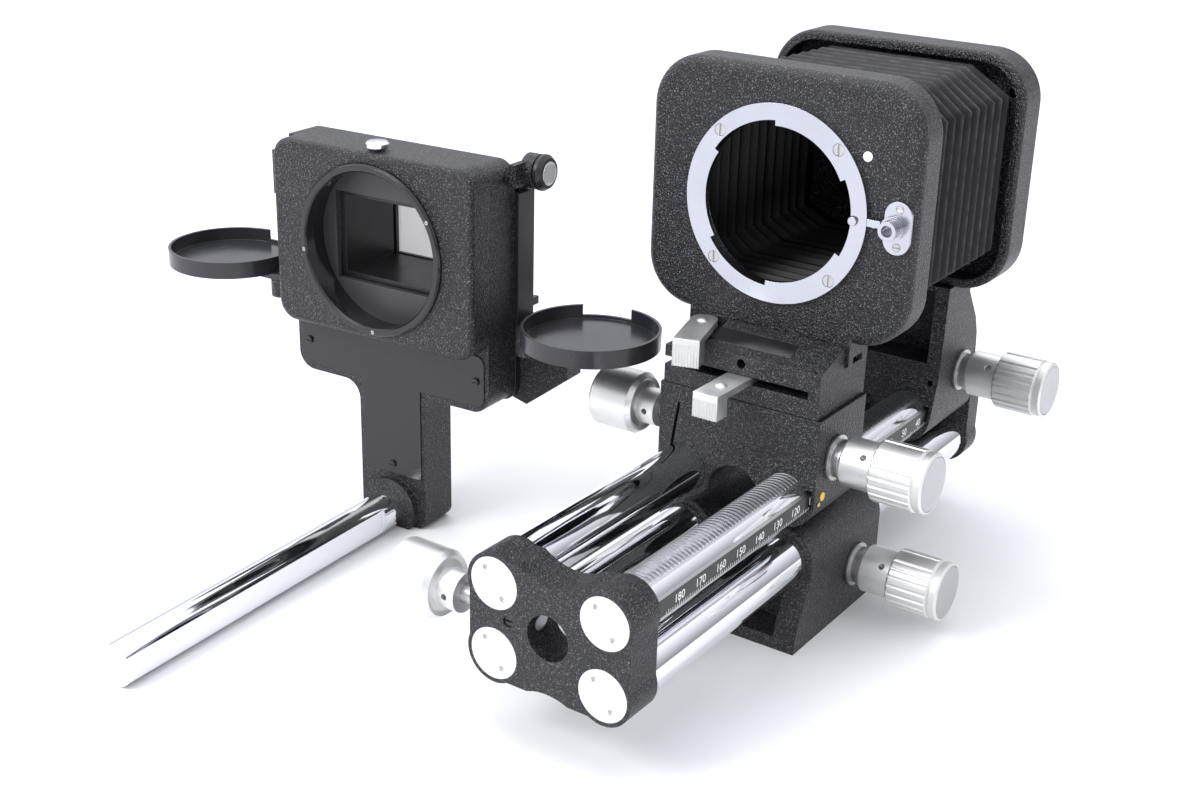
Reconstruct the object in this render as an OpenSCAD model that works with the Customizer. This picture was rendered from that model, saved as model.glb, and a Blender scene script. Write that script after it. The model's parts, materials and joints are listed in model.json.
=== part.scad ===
// Slide duplicator: a bellows unit on a four-rail frame, and the slide copying adapter that belongs to it.
// X runs to the right across the rails, Y back along them, Z up. The table is Z = 0 and X = 0 is midway
// between the rails. Places along Y are measured from the front face of the front end plate, and at_bush()
// then moves every piece so that the mouth of the tripod bush is the origin. All sizes are in millimetres.

/* [Rail frame] */
// Height of the middle of the four rails above the table
rail_mid_z = 35.5; // [35:0.5:40]
// Half the distance between the left and right rails
rail_dx = 16.9; // [16.5:0.1:17.5]
// Half the distance between the upper and lower rails
rail_dz = 10.1; // [10:0.1:10.5]
// Radius of each rail
rail_r = 7.25; // [7:0.05:7.3]
// Length over both end plates
frame_len = 212; // [210:1:230]
// Thickness of the front end plate
front_plate_t = 12; // [10:0.5:13]
// Thickness of the rear end plate
rear_plate_t = 8; // [6:0.5:9]
// Pitch of the rack teeth
rack_pitch = 1.665; // [1.6:0.005:1.7]
// Number of teeth on each pinion
pinion_teeth = 16; // [16:1:16]

/* [Bellows unit] */
// Front face of the front carriage
front_y = 90; // [60:1:95]
// Front-to-back length of the front carriage
carriage_len = 28; // [26:1:30]
// Half width of the carriages
carriage_hw = 26; // [25.5:0.5:26]
// Front face of the lens board
board_y = 104.5; // [104.5:0.5:104.5]
// Width of the lens board and the rear frame
board_w = 84; // [82:0.5:86]
// Height of the lens board and the rear frame
board_h = 73.4; // [72:0.5:74]
// Height of the lens axis above the rod bore
lens_rise = 89.2; // [89:0.1:90]
// Front rim of the rear frame
rear_rim_y = 175; // [174:1:176]
// Plane of the camera mount flange
camera_flange_y = 210; // [208:0.5:211]
// Pleats in the bellows
bellows_pleats = 13; // [8:1:16]
// Front edge of the tripod block's foot
block_y = 84; // [70:1:90]
// Length of the tripod block's foot
block_len = 52; // [48:1:54]

/* [Slide copying adapter] */
// Where the free end of the adapter's rod stands, to the left of the rails
adapter_x = -114.4; // [-140:0.1:-114]
// Where the free end of the adapter's rod stands, along the rails
adapter_y = -42.3; // [-45:0.1:-40]
// How far the adapter is turned on the table
adapter_turn = 3.3; // [0:0.1:5]
// Radius of the adapter's rod
rod_r = 6.3; // [6.25:0.01:6.32]
// Width of the adapter's front housing
housing_w = 76.4; // [72:0.4:80]
// Width of the film gate's opening
gate_w = 37; // [36:0.5:38]
// Height of the film gate's opening
gate_h = 25; // [24:0.5:26]

/* [Hidden] */
$fn = 64;

black = [0.10, 0.10, 0.11];
soft_black = [0.05, 0.05, 0.055];
chrome = [0.82, 0.83, 0.85];
satin = [0.86, 0.86, 0.85];
steel = [0.62, 0.63, 0.65];
brass = [0.78, 0.62, 0.30];

over = 0.5;                 // how far a cutting shape runs past the surface it cuts
slide_gap = 0.05;           // radial running clearance on rails and shafts
body_gap = 0.3;             // clearance between flat faces that pass each other

// Rails, rack and pinions
upper_z = rail_mid_z + rail_dz;
lower_z = rail_mid_z - rail_dz;
rear_plate_y = frame_len - rear_plate_t;
cap_t = 1.2;
cap_spigot_r = 4;
cap_spigot_len = 8;
lobe_r = carriage_hw - rail_dx;
plate_lobe_r = 7.8;
plate_half_h = rail_dz + 8.4;
rod_bore_r = rod_r + slide_gap;
tooth_h = 1.1;
tooth_tip = 0.36 * rack_pitch;
tooth_gap = 0.22 * rack_pitch;
pinion_r = rack_pitch * pinion_teeth / (2 * PI);
pinion_rise = rail_r - tooth_h / 2 + pinion_r;
drive_z = upper_z + pinion_rise;
block_drive_z = lower_z - pinion_rise;
pinion_w = 6;
shaft_r = 2.5;
front_axis_y = front_y + 11;
rear_axis_y = 189;
block_axis_y = block_y + 37;
bush_y = block_y + 26;
rack_start = front_plate_t + 1;
rack_len = rear_plate_y - rack_start - 1;

// Scale bar let into the right side of the upper right rail
bar_x0 = 21.6;
bar_x1 = 24.6;
bar_z0 = upper_z - 1.8;
bar_z1 = upper_z + 3.4;

// Front standard
swing_z = rail_mid_z + 35;
stage_low_z = swing_z + body_gap;
stage_ledge_z = rail_mid_z + 46.5;
stage_front_z = rail_mid_z + 48.5;
stage_back_z = rail_mid_z + 53;
stage_hw = 25;
swing_x = 0;
swing_y = board_y - 0.5;
slot_z0 = rail_mid_z + 40.6;
slot_z1 = rail_mid_z + 43;
slot_right_x = 21.5;
lens_z = rail_mid_z + lens_rise;
board_cz = rail_mid_z + 90;
board_r = 15;
board_edge = 3.2;
board_t = 11.5;
board_wall = 3.5;
board_back_y = board_y + board_t;
neck_hw = 26;
neck_z0 = stage_ledge_z + body_gap;
ring_r = 28.2;
ring_t = 1.4;
ring_y = board_y - ring_t;
bayonet_r = 23.5;
throat_r = 22;
lug_t = 1.6;
ring_screw_r = 25.9;

// Bellows
bellows_hw = 36;
bellows_hh = 31.5;
bellows_cut = 9;
pleat_depth = 5.5;
bellows_wall = 0.7;
bellows_y0 = board_y + board_wall;
rear_floor_y = rear_rim_y + 9;
bellows_y1 = rear_floor_y;
bellows_last_y = bellows_y1 - 4;
bellows_cz = lens_z;
rear_cz = rail_mid_z + 88.7;
rear_h = 72.8;

// Rear standard
rear_frame_back = rear_floor_y + 3;
rear_boss_y = rear_frame_back + 5.5;
mount_ring_r = 31;
rear_boss_r = 33;
rear_col_y = 173;
rear_nose_y = 167;
rear_foot_y = 200.7;

// Knobs
collar_r = 7.2;
grip_r = 9;
grip_x = 40;
grip_end = 53;
knob_end = 56;
left_knob_r = 9.5;
left_knob_len = 15;

// Adapter, in its own frame: s to the right, d back from the free end of the rod, z up
stem_d = 122.4;
stem_hw = 13;
body_d = 136.5;
body_hw = 38;
body_z0 = 47;
body_z1 = 125;
housing_d = 113.5;
housing_z0 = 66.5;
housing_z1 = 126;
gate_z = rod_r + lens_rise;
opening_r = 27.2;
mask_t = 2;
shift_s = 9;
shift_z = 6;
gate_wall = 2;
back_t = 2.5;
frame_d = body_d + back_t + body_gap;
frame_t = 5;
gate_d = frame_d + frame_t + body_gap;
gate_t = 4;
film_gap = 1.5;
door_d = gate_d + gate_t + film_gap;
door_t = 5;
tray_s = 71;
tray_d = 128;
tray_r = 21;
tray_z = 76;
tray_rim = 5.5;
tray_pivot_s = 49;
guide_s0 = 37.7;
guide_s1 = 39.2;
root_s0 = 30;
root_s1 = 36;
lock_d = body_d + 6.7;
lock_z = 120.8;
lock_lug_t = 4.5;
arm_z = 74.2;

// Moves the whole part so that the mouth of the tripod bush is the origin
module at_bush() {
    translate([0, -bush_y, 0])
        children();
}

// Draws 2D shapes standing in the X-Z plane and thickens them forward from the plane y to y - t
module upright(y, t) {
    translate([0, y, 0])
        rotate([90, 0, 0])
            linear_extrude(height = t)
                children();
}

// Puts a shape that is drawn along +Z on an axis along +X
module along_x(x, y, z) {
    translate([x, y, z])
        rotate([0, 90, 0])
            children();
}

// Puts a shape that is drawn along +Z on an axis along -Y, which faces the front
module along_front(x, y, z) {
    translate([x, y, z])
        rotate([90, 0, 0])
            children();
}

// Rectangle with round corners, centred
module round_rect(w, h, r) {
    square([w - 2 * r, h], center = true);
    square([w, h - 2 * r], center = true);
    for (i = [-1, 1], j = [-1, 1])
        translate([i * (w / 2 - r), j * (h / 2 - r)])
            circle(r);
}

// Half profile of a slab's rim: full width w at the back, rounded over with radius e at the top t
module rim_profile(w, t, e) {
    square([w - e, t]);
    square([w, t - e]);
    translate([w - e, t - e])
        circle(e);
}

// Slab with round corners r and a front edge rounded with radius e, back at z = 0 and front at z = t
module soft_slab(w, h, t, r, e) {
    for (i = [-1, 1], j = [-1, 1])
        translate([i * (w / 2 - r), j * (h / 2 - r), 0])
            rotate_extrude()
                intersection() {
                    rim_profile(r, t, e);
                    square([r, t]);
                }
    translate([0, -(h / 2 - r), 0])
        rotate([90, 0, 180])
            linear_extrude(height = h - 2 * r)
                slab_section(w, t, e);
    translate([-(w / 2 - r), 0, 0])
        rotate([90, 0, 90])
            linear_extrude(height = w - 2 * r)
                slab_section(h, t, e);
}

// Full section of the slab: a rectangle whose two upper corners are rounded
module slab_section(w, t, e) {
    translate([-w / 2, 0])
        square([w, t - e]);
    translate([-w / 2 + e, 0])
        square([w - 2 * e, t]);
    for (i = [-1, 1])
        translate([i * (w / 2 - e), t - e])
            circle(e);
}

// Slotted screw head along +Z with its outer face at z = t
module slotted_head(r, t) {
    slot_w = r * 0.3;
    difference() {
        cylinder(r = r, h = t);
        translate([-r - over, -slot_w / 2, t * 0.55])
            cube([2 * (r + over), slot_w, t]);
    }
}

// Profile of the rack: a bar along +X whose top edge, at y = 0, carries the teeth
module rack_gaps(len) {
    count = floor(len / rack_pitch);
    for (i = [0 : count - 1])
        translate([i * rack_pitch, 0])
            polygon([
                [tooth_tip, over], [tooth_tip, 0], [tooth_tip + tooth_gap, -tooth_h],
                [rack_pitch - tooth_gap, -tooth_h], [rack_pitch, 0], [rack_pitch, over]
            ]);
}

// Pinion along +Z, its teeth narrower than the spaces of the rack
module pinion(w) {
    root_r = pinion_r - tooth_h / 2 - 0.12;
    tip_r = pinion_r + tooth_h / 2 - 0.25;
    step = 360 / pinion_teeth;
    root_half = step * 0.22;
    tip_half = step * 0.09;
    linear_extrude(height = w) {
        circle(root_r);
        for (i = [0 : pinion_teeth - 1])
            rotate(i * step)
                polygon([
                    [root_r * 0.9 * cos(root_half), -root_r * 0.9 * sin(root_half)],
                    [tip_r * cos(tip_half), -tip_r * sin(tip_half)],
                    [tip_r * cos(tip_half), tip_r * sin(tip_half)],
                    [root_r * 0.9 * cos(root_half), root_r * 0.9 * sin(root_half)]
                ]);
    }
}

// Outline of an end plate: two upright lobed ends joined by a web, waisted more above than below
module plate_outline() {
    waist_r = 16;
    waist_depth = [2.4, 4.4];
    for (i = [-1, 1]) {
        translate([i * rail_dx, 0])
            square([2 * plate_lobe_r, 2 * rail_dz], center = true);
        for (j = [-1, 1])
            translate([i * rail_dx, j * rail_dz])
                circle(plate_lobe_r + 0.6);
    }
    difference() {
        square([2 * rail_dx, 2 * plate_half_h - 2.2], center = true);
        for (j = [0, 1])
            translate([0, (2 * j - 1) * (plate_half_h + waist_r - waist_depth[j])])
                circle(waist_r);
    }
}

module front_end_plate() {
    clamp_hole_r = 2.8;
    color(black)
        at_bush()
        difference() {
            translate([0, 0, rail_mid_z])
                upright(front_plate_t, front_plate_t)
                    plate_outline();
            for (i = [-1, 1], j = [-1, 1])
                along_front(i * rail_dx, front_plate_t + over, rail_mid_z + j * rail_dz)
                    cylinder(r = rail_r + 0.02, h = front_plate_t + 2 * over);
            along_front(0, front_plate_t + over, rail_mid_z)
                cylinder(r = rod_bore_r, h = front_plate_t + 2 * over);
            along_x(-plate_lobe_r - rail_dx - 2, front_plate_t / 2 + 0.3, rail_mid_z)
                cylinder(r = clamp_hole_r, h = rail_dx + plate_lobe_r);
            along_front(-12.4, 3, rail_mid_z + 0.6)
                cylinder(r = 1.6, h = 4);
        }
}

module rear_end_plate() {
    color(black)
        at_bush()
        difference() {
            translate([0, 0, rail_mid_z])
                upright(frame_len, rear_plate_t)
                    plate_outline();
            for (i = [-1, 1], j = [-1, 1])
                along_front(i * rail_dx, frame_len + over, rail_mid_z + j * rail_dz)
                    cylinder(r = rail_r + 0.02, h = rear_plate_t + 2 * over);
        }
}

// A rail from cap to cap with its two tapped ends
module plain_rail(x, z) {
    difference() {
        along_front(x, frame_len - cap_t, z)
            cylinder(r = rail_r, h = frame_len - 2 * cap_t);
        along_front(x, frame_len + over, z)
            cylinder(r = cap_spigot_r + 0.02, h = cap_t + cap_spigot_len + over);
        along_front(x, cap_t + cap_spigot_len, z)
            cylinder(r = cap_spigot_r + 0.02, h = cap_t + cap_spigot_len + over);
    }
}

module upper_left_rail() {
    color(chrome)
        at_bush()
        plain_rail(-rail_dx, upper_z);
}

module lower_left_rail() {
    color(chrome)
        at_bush()
        plain_rail(-rail_dx, lower_z);
}

// Teeth cut across the top of a rail, pointing up for side = 1 and down for side = -1
module rack_cut(x, z, side) {
    translate([x + rail_r, rack_start, z + side * rail_r])
        rotate([90, 0, -90])
            mirror([1, 0, 0])
                mirror([0, side < 0 ? 1 : 0, 0])
                    linear_extrude(height = 2 * rail_r)
                        rack_gaps(rack_len);
}

module upper_rack_rail() {
    color(chrome)
        at_bush()
        difference() {
            plain_rail(rail_dx, upper_z);
            rack_cut(rail_dx, upper_z, 1);
            translate([bar_x0, front_plate_t, bar_z0])
                cube([rail_r, rear_plate_y - front_plate_t, bar_z1 - bar_z0]);
        }
}

module lower_rack_rail() {
    color(chrome)
        at_bush()
        difference() {
            plain_rail(rail_dx, lower_z);
            rack_cut(rail_dx, lower_z, -1);
        }
}

module rail_end_caps() {
    pin_hole_r = 0.9;
    pin_hole_at = 4.6;
    color(satin)
        at_bush()
        for (i = [-1, 1], j = [-1, 1], back = [0, 1])
            translate([i * rail_dx, back * frame_len, rail_mid_z + j * rail_dz])
                rotate([back ? -90 : 90, 0, 0])
                    difference() {
                        union() {
                            translate([0, 0, -cap_t])
                                cylinder(r = rail_r, h = cap_t);
                            translate([0, 0, -cap_t - cap_spigot_len + 0.5])
                                cylinder(r = cap_spigot_r, h = cap_spigot_len);
                        }
                        for (k = [-1, 1])
                            rotate(125)
                                translate([k * pin_hole_at, 0, -0.8])
                                    cylinder(r = pin_hole_r, h = 1);
                    }
}

module scale_bar() {
    color(steel)
        at_bush()
        translate([0, rear_plate_y, 0])
            rotate([90, 0, 0])
                linear_extrude(height = rear_plate_y - front_plate_t)
                    polygon([
                        [bar_x0, bar_z0], [bar_x1, bar_z0], [bar_x1, bar_z1 - 1.2],
                        [bar_x1 - 1.2, bar_z1], [bar_x0, bar_z1]
                    ]);
}

module plate_set_screw() {
    color(soft_black)
        at_bush()
        along_front(-12.4, 3, rail_mid_z + 0.6)
            slotted_head(1.58, 2.6);
}

// Large smooth knob drawn along +Z from its hub at z = 0 to its outer end
module left_knob() {
    hub_r = 5.6;
    hub_len = 6;
    pin_r = 0.9;
    difference() {
        rotate_extrude()
            polygon([
                [2.7, 0], [hub_r, 0], [hub_r, hub_len], [hub_r + 1.6, hub_len + 0.6],
                [left_knob_r - 1.2, hub_len], [left_knob_r, hub_len + 1.6],
                [left_knob_r, hub_len + left_knob_len - 0.8],
                [left_knob_r - 0.8, hub_len + left_knob_len], [0, hub_len + left_knob_len],
                [0, hub_len + 4], [2.7, hub_len + 4]
            ]);
        translate([0, 0, hub_len / 2])
            rotate([90, 0, 0])
                cylinder(r = pin_r, h = 2 * left_knob_r, center = true);
    }
}

clamp_y = front_plate_t / 2 + 0.3;
clamp_hub_x = -31;

module rod_clamp_knob() {
    color(satin)
        at_bush()
        translate([clamp_hub_x, clamp_y, rail_mid_z])
            rotate([0, -90, 0])
                left_knob();
}

module rod_clamp_screw() {
    color(steel)
        at_bush()
        along_x(clamp_hub_x - 9.9, clamp_y, rail_mid_z)
            cylinder(r = 2.65, h = -rod_bore_r - 0.1 - clamp_hub_x + 9.9);
}

// Section of a carriage on the upper rails: square shoulders, a lobe round each rail, an arch between
module carriage_section(top) {
    arch_r = 8.4;
    difference() {
        union() {
            translate([-carriage_hw, upper_z])
                square([2 * carriage_hw, top - upper_z]);
            for (i = [-1, 1])
                translate([i * rail_dx, upper_z])
                    circle(lobe_r);
            translate([-rail_dx, rail_mid_z + 5])
                square([2 * rail_dx, rail_dz]);
        }
        translate([0, rail_mid_z + 6.3])
            circle(arch_r);
        translate([-arch_r, rail_mid_z - 5])
            square([2 * arch_r, 11.3]);
    }
}

// Rail bores, scale-bar slot and the cross shaft's bore, cut through a carriage from y0 to y1
module carriage_bores(y0, y1, axis_y) {
    for (i = [-1, 1])
        along_front(i * rail_dx, y1 + over, upper_z)
            cylinder(r = rail_r + slide_gap, h = y1 - y0 + 2 * over);
    translate([bar_x0 - over, y0 - over, bar_z0 - body_gap])
        cube([bar_x1 + body_gap - bar_x0 + over, y1 - y0 + 2 * over, bar_z1 - bar_z0 + 2 * body_gap]);
    along_x(-carriage_hw - over, axis_y, drive_z)
        cylinder(r = shaft_r + slide_gap, h = 2 * (carriage_hw + over));
    along_x(rail_dx - pinion_w / 2 - body_gap, axis_y, drive_z)
        cylinder(r = pinion_r + tooth_h, h = pinion_w + 2 * body_gap);
}

module front_carriage() {
    slit_w = 0.9;
    rib_hl = 6;
    back_y = front_y + carriage_len;
    color(black)
        at_bush() {
        difference() {
            upright(back_y, carriage_len)
                carriage_section(swing_z);
            carriage_bores(front_y, back_y, front_axis_y);
            translate([-carriage_hw + 3.5, front_y - over, upper_z + 2])
                rotate([0, 8, 0])
                    cube([slit_w, carriage_len + 2 * over, 18]);
            translate([swing_x, swing_y, swing_z - 8])
                cylinder(r = 4.05, h = 9);
        }
        translate([swing_x, swing_y, swing_z - 8])
            cylinder(r = 4, h = 8 + rib_hl - 1);
    }
}

dot_y = front_y + 4.6;

module index_dot() {
    color([0.86, 0.72, 0.20])
        at_bush()
        along_x(carriage_hw, dot_y, upper_z + 1)
            cylinder(r = 1.25, h = 0.25);
}

module index_pin() {
    color(brass)
        at_bush()
        along_x(carriage_hw, front_y + 2, upper_z - 0.5)
            cylinder(r = 0.6, h = 0.6);
}

// Drive knob drawn along +Z: plain collar with pin holes, fluted grip, plain rim and a dished end
module drive_knob() {
    flutes = 22;
    start = 30 - carriage_hw;
    grip0 = grip_x - carriage_hw;
    grip1 = grip_end - carriage_hw;
    end = knob_end - carriage_hw;
    difference() {
        rotate_extrude()
            polygon([
                [shaft_r, start], [collar_r - 0.6, start], [collar_r, start + 0.6],
                [collar_r, grip0], [grip_r - 0.5, grip0], [grip_r, grip0 + 0.5],
                [grip_r, grip1 - 0.4], [grip_r - 0.6, grip1], [grip_r - 0.2, grip1 + 0.5],
                [grip_r - 0.2, end - 0.5], [grip_r - 0.7, end], [8, end], [8, end - 0.4],
                [0, end - 0.4], [0, end - 3], [shaft_r, end - 3]
            ]);
        for (i = [0 : flutes - 1])
            rotate(i * 360 / flutes)
                translate([grip_r + 0.2, 0, grip0 - 0.2])
                    cylinder(r = 0.6, h = grip1 - grip0 - 0.2, $fn = 24);
        for (a = [200, 320])
            rotate(a)
                translate([0, 0, grip0 - 3])
                    rotate([90, 0, 0])
                        cylinder(r = 0.9, h = collar_r + 1, $fn = 24);
    }
}

// Cross shaft with its pinion, from the left side of a carriage into the drive knob
module pinion_shaft(axis_y, z, up) {
    left = 6;
    along_x(-left, axis_y, z)
        cylinder(r = shaft_r, h = left + knob_end - 3.1);
    along_x(rail_dx - pinion_w / 2, axis_y, z)
        rotate(up > 0 ? -pinion_phase(axis_y) : pinion_phase(axis_y))
            pinion(pinion_w);
    along_x(carriage_hw + body_gap, axis_y, z)
        cylinder(r = 4.8, h = 30 - carriage_hw - body_gap);
}

// Turn that brings a tooth of the pinion over the nearest space of the rack
function pinion_phase(y) =
    let (pos = (y - rack_start) / rack_pitch, mid = (1 + 0.36) / 2)
    (pos - floor(pos) - mid) * 360 / pinion_teeth;

module front_drive_knob() {
    color(satin)
        at_bush()
        along_x(carriage_hw, front_axis_y, drive_z)
            drive_knob();
}

module front_pinion_shaft() {
    color(chrome)
        at_bush()
        pinion_shaft(front_axis_y, drive_z, 1);
}

module lock_knob(axis_y) {
    translate([-32, axis_y, drive_z])
        rotate([0, -90, 0])
            left_knob();
}

module lock_screw(axis_y) {
    along_x(-41.9, axis_y, drive_z)
        cylinder(r = 2.5, h = 41.9 - 7);
}

module front_lock_knob() {
    color(satin)
        at_bush()
        lock_knob(front_axis_y);
}

module front_lock_screw() {
    color(steel)
        at_bush()
        lock_screw(front_axis_y);
}

// Stage that swings on the carriage: slotted front, ledge for the shift lever, sloping nameplate face and
// the rib that the lens board slides on
module swing_stage() {
    back_y = front_y + carriage_len;
    notch_x = -12.6;
    color(black)
        at_bush()
        difference() {
            union() {
                translate([-stage_hw, front_y, stage_low_z])
                    cube([2 * stage_hw, carriage_len, stage_ledge_z - stage_low_z]);
                translate([notch_x, 0, 0])
                    rotate([90, 0, 90])
                        linear_extrude(height = stage_hw - notch_x)
                            polygon([
                                [front_y, stage_ledge_z - 1], [front_y, stage_front_z],
                                [board_y - body_gap, stage_back_z],
                                [board_y - body_gap, stage_ledge_z - 1]
                            ]);
                translate([-12, board_y + 3, stage_ledge_z - 1])
                    cube([24, 5, 3.2]);
            }
            translate([-stage_hw - over, front_y - over, slot_z0])
                cube([stage_hw + over + slot_right_x, 12, slot_z1 - slot_z0]);
            along_front(0, front_y + 4, rail_mid_z + 46.2)
                cylinder(r = 1.4, h = 5);
            translate([swing_x, swing_y, stage_low_z - over])
                cylinder(r = 4 + slide_gap, h = 6);
            translate([swing_lever_x, swing_lever_y, stage_low_z + 1])
                cylinder(r = lever_pin_r + slide_gap, h = slot_z0 - stage_low_z);
            translate([shift_lever_x, shift_lever_y, slot_z1 + 0.6])
                cylinder(r = lever_pin_r + slide_gap, h = 6);
            translate([0, front_y + 7.1, stage_front_z + 1.9])
                rotate([stage_slope, 0, 0])
                    cube([26, 6.4, 1.2], center = true);
        }
}

stage_slope = atan((stage_back_z - stage_front_z) / (board_y - body_gap - front_y));

module stage_nameplate() {
    color(soft_black)
        at_bush()
        translate([0, front_y + 7.1, stage_front_z + 1.95])
            rotate([stage_slope, 0, 0])
                cube([25.9, 6.3, 0.5], center = true);
}

// Clamp lever: a flat arm from its pivot forward to a ribbed tab that hangs down
module clamp_lever(reach, top, tab_h) {
    arm_t = 2;
    w = 7.8;
    ribs = 9;
    translate([0, 0, top - arm_t])
        cylinder(r = w / 2, h = arm_t);
    translate([-w / 2, -reach, top - arm_t])
        cube([w, reach, arm_t]);
    difference() {
        translate([-w / 2, -reach, top - tab_h])
            cube([w, 5.5, tab_h]);
        for (i = [0 : ribs - 1])
            translate([(i - (ribs - 1) / 2) * w / ribs, -reach, top - tab_h - over])
                cylinder(r = 0.28, h = tab_h - 1, $fn = 16);
    }
}

module rivet_dome(z) {
    translate([0, 0, z])
        rotate_extrude()
            intersection() {
                translate([0, -1.6])
                    circle(2.4);
                square([2.4, 2.4]);
            }
}

swing_lever_z = slot_z1 - 0.2;
swing_lever_x = -0.2;
swing_lever_y = 96.5;
shift_lever_x = -18.2;
shift_lever_y = 99.6;
shift_lever_z = rail_mid_z + 53;
shift_lever_turn = 16;
lever_pin_r = 2;

module swing_lever() {
    color(satin)
        at_bush()
        translate([swing_lever_x, swing_lever_y, 0]) {
            clamp_lever(25, swing_lever_z, 7.3);
            translate([0, -16.5, 0])
                rivet_dome(swing_lever_z);
            translate([0, 0, stage_low_z + 1.1])
                cylinder(r = lever_pin_r, h = swing_lever_z - stage_low_z - 1.2);
        }
}

module shift_lever() {
    color(satin)
        at_bush()
        translate([shift_lever_x, shift_lever_y, 0])
            rotate(shift_lever_turn) {
                clamp_lever(19, shift_lever_z, 8.3);
                translate([0, -1.5, 0])
                    rivet_dome(shift_lever_z);
                translate([0, 0, stage_ledge_z + 0.05])
                    cylinder(r = 2.9, h = shift_lever_z - 1.9 - stage_ledge_z);
                translate([0, 0, slot_z1 + 0.8])
                    cylinder(r = lever_pin_r, h = shift_lever_z - slot_z1 - 2);
            }
}

module lens_board() {
    inner_w = board_w - 7;
    inner_h = board_h - 7;
    color(black)
        at_bush()
        difference() {
            union() {
                translate([0, board_back_y, board_cz])
                    rotate([90, 0, 0])
                        soft_slab(board_w, board_h, board_t, board_r, board_edge);
                translate([-neck_hw, board_y, neck_z0])
                    cube([2 * neck_hw, board_t, board_cz - board_h / 2 + 6 - neck_z0]);
            }
            translate([0, 0, board_cz])
                upright(board_back_y + over, board_t - board_wall + over)
                    round_rect(inner_w, inner_h, board_r - 3.5);
            along_front(0, board_back_y, lens_z)
                cylinder(r = 24.5, h = board_t + 1);
            translate([-30, board_y + 3 - body_gap, neck_z0 - over])
                cube([60, 5 + 2 * body_gap, 2.4 + over]);
            along_front(release_x, board_back_y, lens_z)
                cylinder(r = 1.05, h = board_t + 1);
            along_front(lock_pin_x, board_back_y, lens_z)
                cylinder(r = 1.3, h = board_t + 1);
            for (a = ring_screw_angles)
                along_front(ring_screw_r * cos(a), board_y + 3, lens_z + ring_screw_r * sin(a))
                    cylinder(r = 0.8, h = 4);
        }
}

ring_screw_angles = [45, 135, 225, 315];

// Bayonet ring: a flat flange whose inner edge carries three locking lugs
module lens_mount_ring() {
    lug_angles = [60, 180, 300];
    head_r = 1.75;
    color(chrome)
        at_bush()
        difference() {
            union() {
                along_front(0, board_y, lens_z)
                    difference() {
                        cylinder(r = ring_r, h = ring_t);
                        translate([0, 0, -over])
                            cylinder(r = bayonet_r, h = ring_t + 2 * over);
                    }
                along_front(0, board_y + 2.6, lens_z)
                    difference() {
                        cylinder(r = 24.4, h = 2.6);
                        translate([0, 0, -over])
                            cylinder(r = bayonet_r, h = 2.6 + 2 * over);
                    }
                for (a = lug_angles)
                    along_front(0, board_y - ring_t + lug_t, lens_z)
                        intersection() {
                            difference() {
                                cylinder(r = bayonet_r + 0.5, h = lug_t);
                                translate([0, 0, -over])
                                    cylinder(r = throat_r, h = lug_t + 2 * over);
                            }
                            rotate(a)
                                linear_extrude(height = lug_t)
                                    polygon([[0, 0], [40, -26], [40, 26]]);
                        }
            }
            for (a = ring_screw_angles)
                along_front(ring_screw_r * cos(a), board_y, lens_z + ring_screw_r * sin(a))
                    translate([0, 0, ring_t - 0.9])
                        cylinder(r = head_r, h = 2);
            for (a = ring_screw_angles)
                along_front(ring_screw_r * cos(a), board_y + over, lens_z + ring_screw_r * sin(a))
                    cylinder(r = 0.8, h = 3);
            along_front(lock_pin_x, board_y + 4, lens_z)
                cylinder(r = 1.3, h = 7);
        }
}

module mount_ring_screws() {
    color(steel)
        at_bush()
        for (a = ring_screw_angles)
            along_front(ring_screw_r * cos(a), board_y, lens_z + ring_screw_r * sin(a)) {
                translate([0, 0, ring_t - 0.9])
                    rotate(90)
                        slotted_head(1.7, 0.8);
                translate([0, 0, -2.4])
                    cylinder(r = 0.75, h = 3);
            }
    color(steel)
        at_bush()
        for (j = [-1, 1])
            along_front(plate_x + 0.3, board_y - 0.4, lens_z + j * 5.2)
                slotted_head(1.1, 0.7);
}

module mount_index_dot() {
    color([0.95, 0.95, 0.95])
        at_bush()
        along_front(26.4, board_y, rail_mid_z + 106.8)
            cylinder(r = 1.35, h = 0.25);
}

lock_pin_x = 24.3;
release_x = 30.3;
plate_x = 37;
plate_hw = 3.9;
plate_half = 3.4;

// Oval plate with the socket that takes a cable release
module release_plate() {
    color(chrome)
        at_bush()
        difference() {
            union() {
                translate([plate_x, 0, lens_z])
                    upright(board_y, 1)
                        union() {
                            square([2 * plate_hw, 2 * plate_half], center = true);
                            for (j = [-1, 1])
                                translate([0, j * plate_half])
                                    circle(plate_hw);
                        }
                along_front(plate_x - 1, board_y - 1, lens_z)
                    cylinder(r = 2.6, h = 4.4);
                along_front(plate_x - 1, board_y - 1, lens_z)
                    cylinder(r = 3.3, h = 1.4);
            }
            along_front(plate_x - 1, board_y - 2, lens_z)
                cylinder(r = 1.6, h = 5);
            for (j = [-1, 1])
                along_front(plate_x + 0.3, board_y - 0.4, lens_z + j * 5.2)
                    cylinder(r = 1.15, h = 2);
        }
}

// Lens lock: a thin lever on the board's face, tied behind the board to the pin that stands in the ring
module release_lever() {
    link_y = board_y + board_wall + 0.15;
    link_t = 0.7;
    color(chrome)
        at_bush() {
        along_front(lock_pin_x, link_y + link_t - 0.1, lens_z)
            cylinder(r = 1.2, h = link_y + link_t - 0.1 - ring_y + 0.9);
        along_front(release_x, link_y + link_t - 0.1, lens_z)
            cylinder(r = 1, h = link_y + link_t - 0.1 - board_y + 1.5);
        translate([ring_r + 0.3, board_y - 1.9, lens_z - 0.7])
            cube([3.9, 0.7, 2]);
        translate([lock_pin_x - 1.2, link_y, lens_z - 1.2])
            cube([release_x + 2.2 - lock_pin_x, link_t, 2.4]);
    }
}

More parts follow.
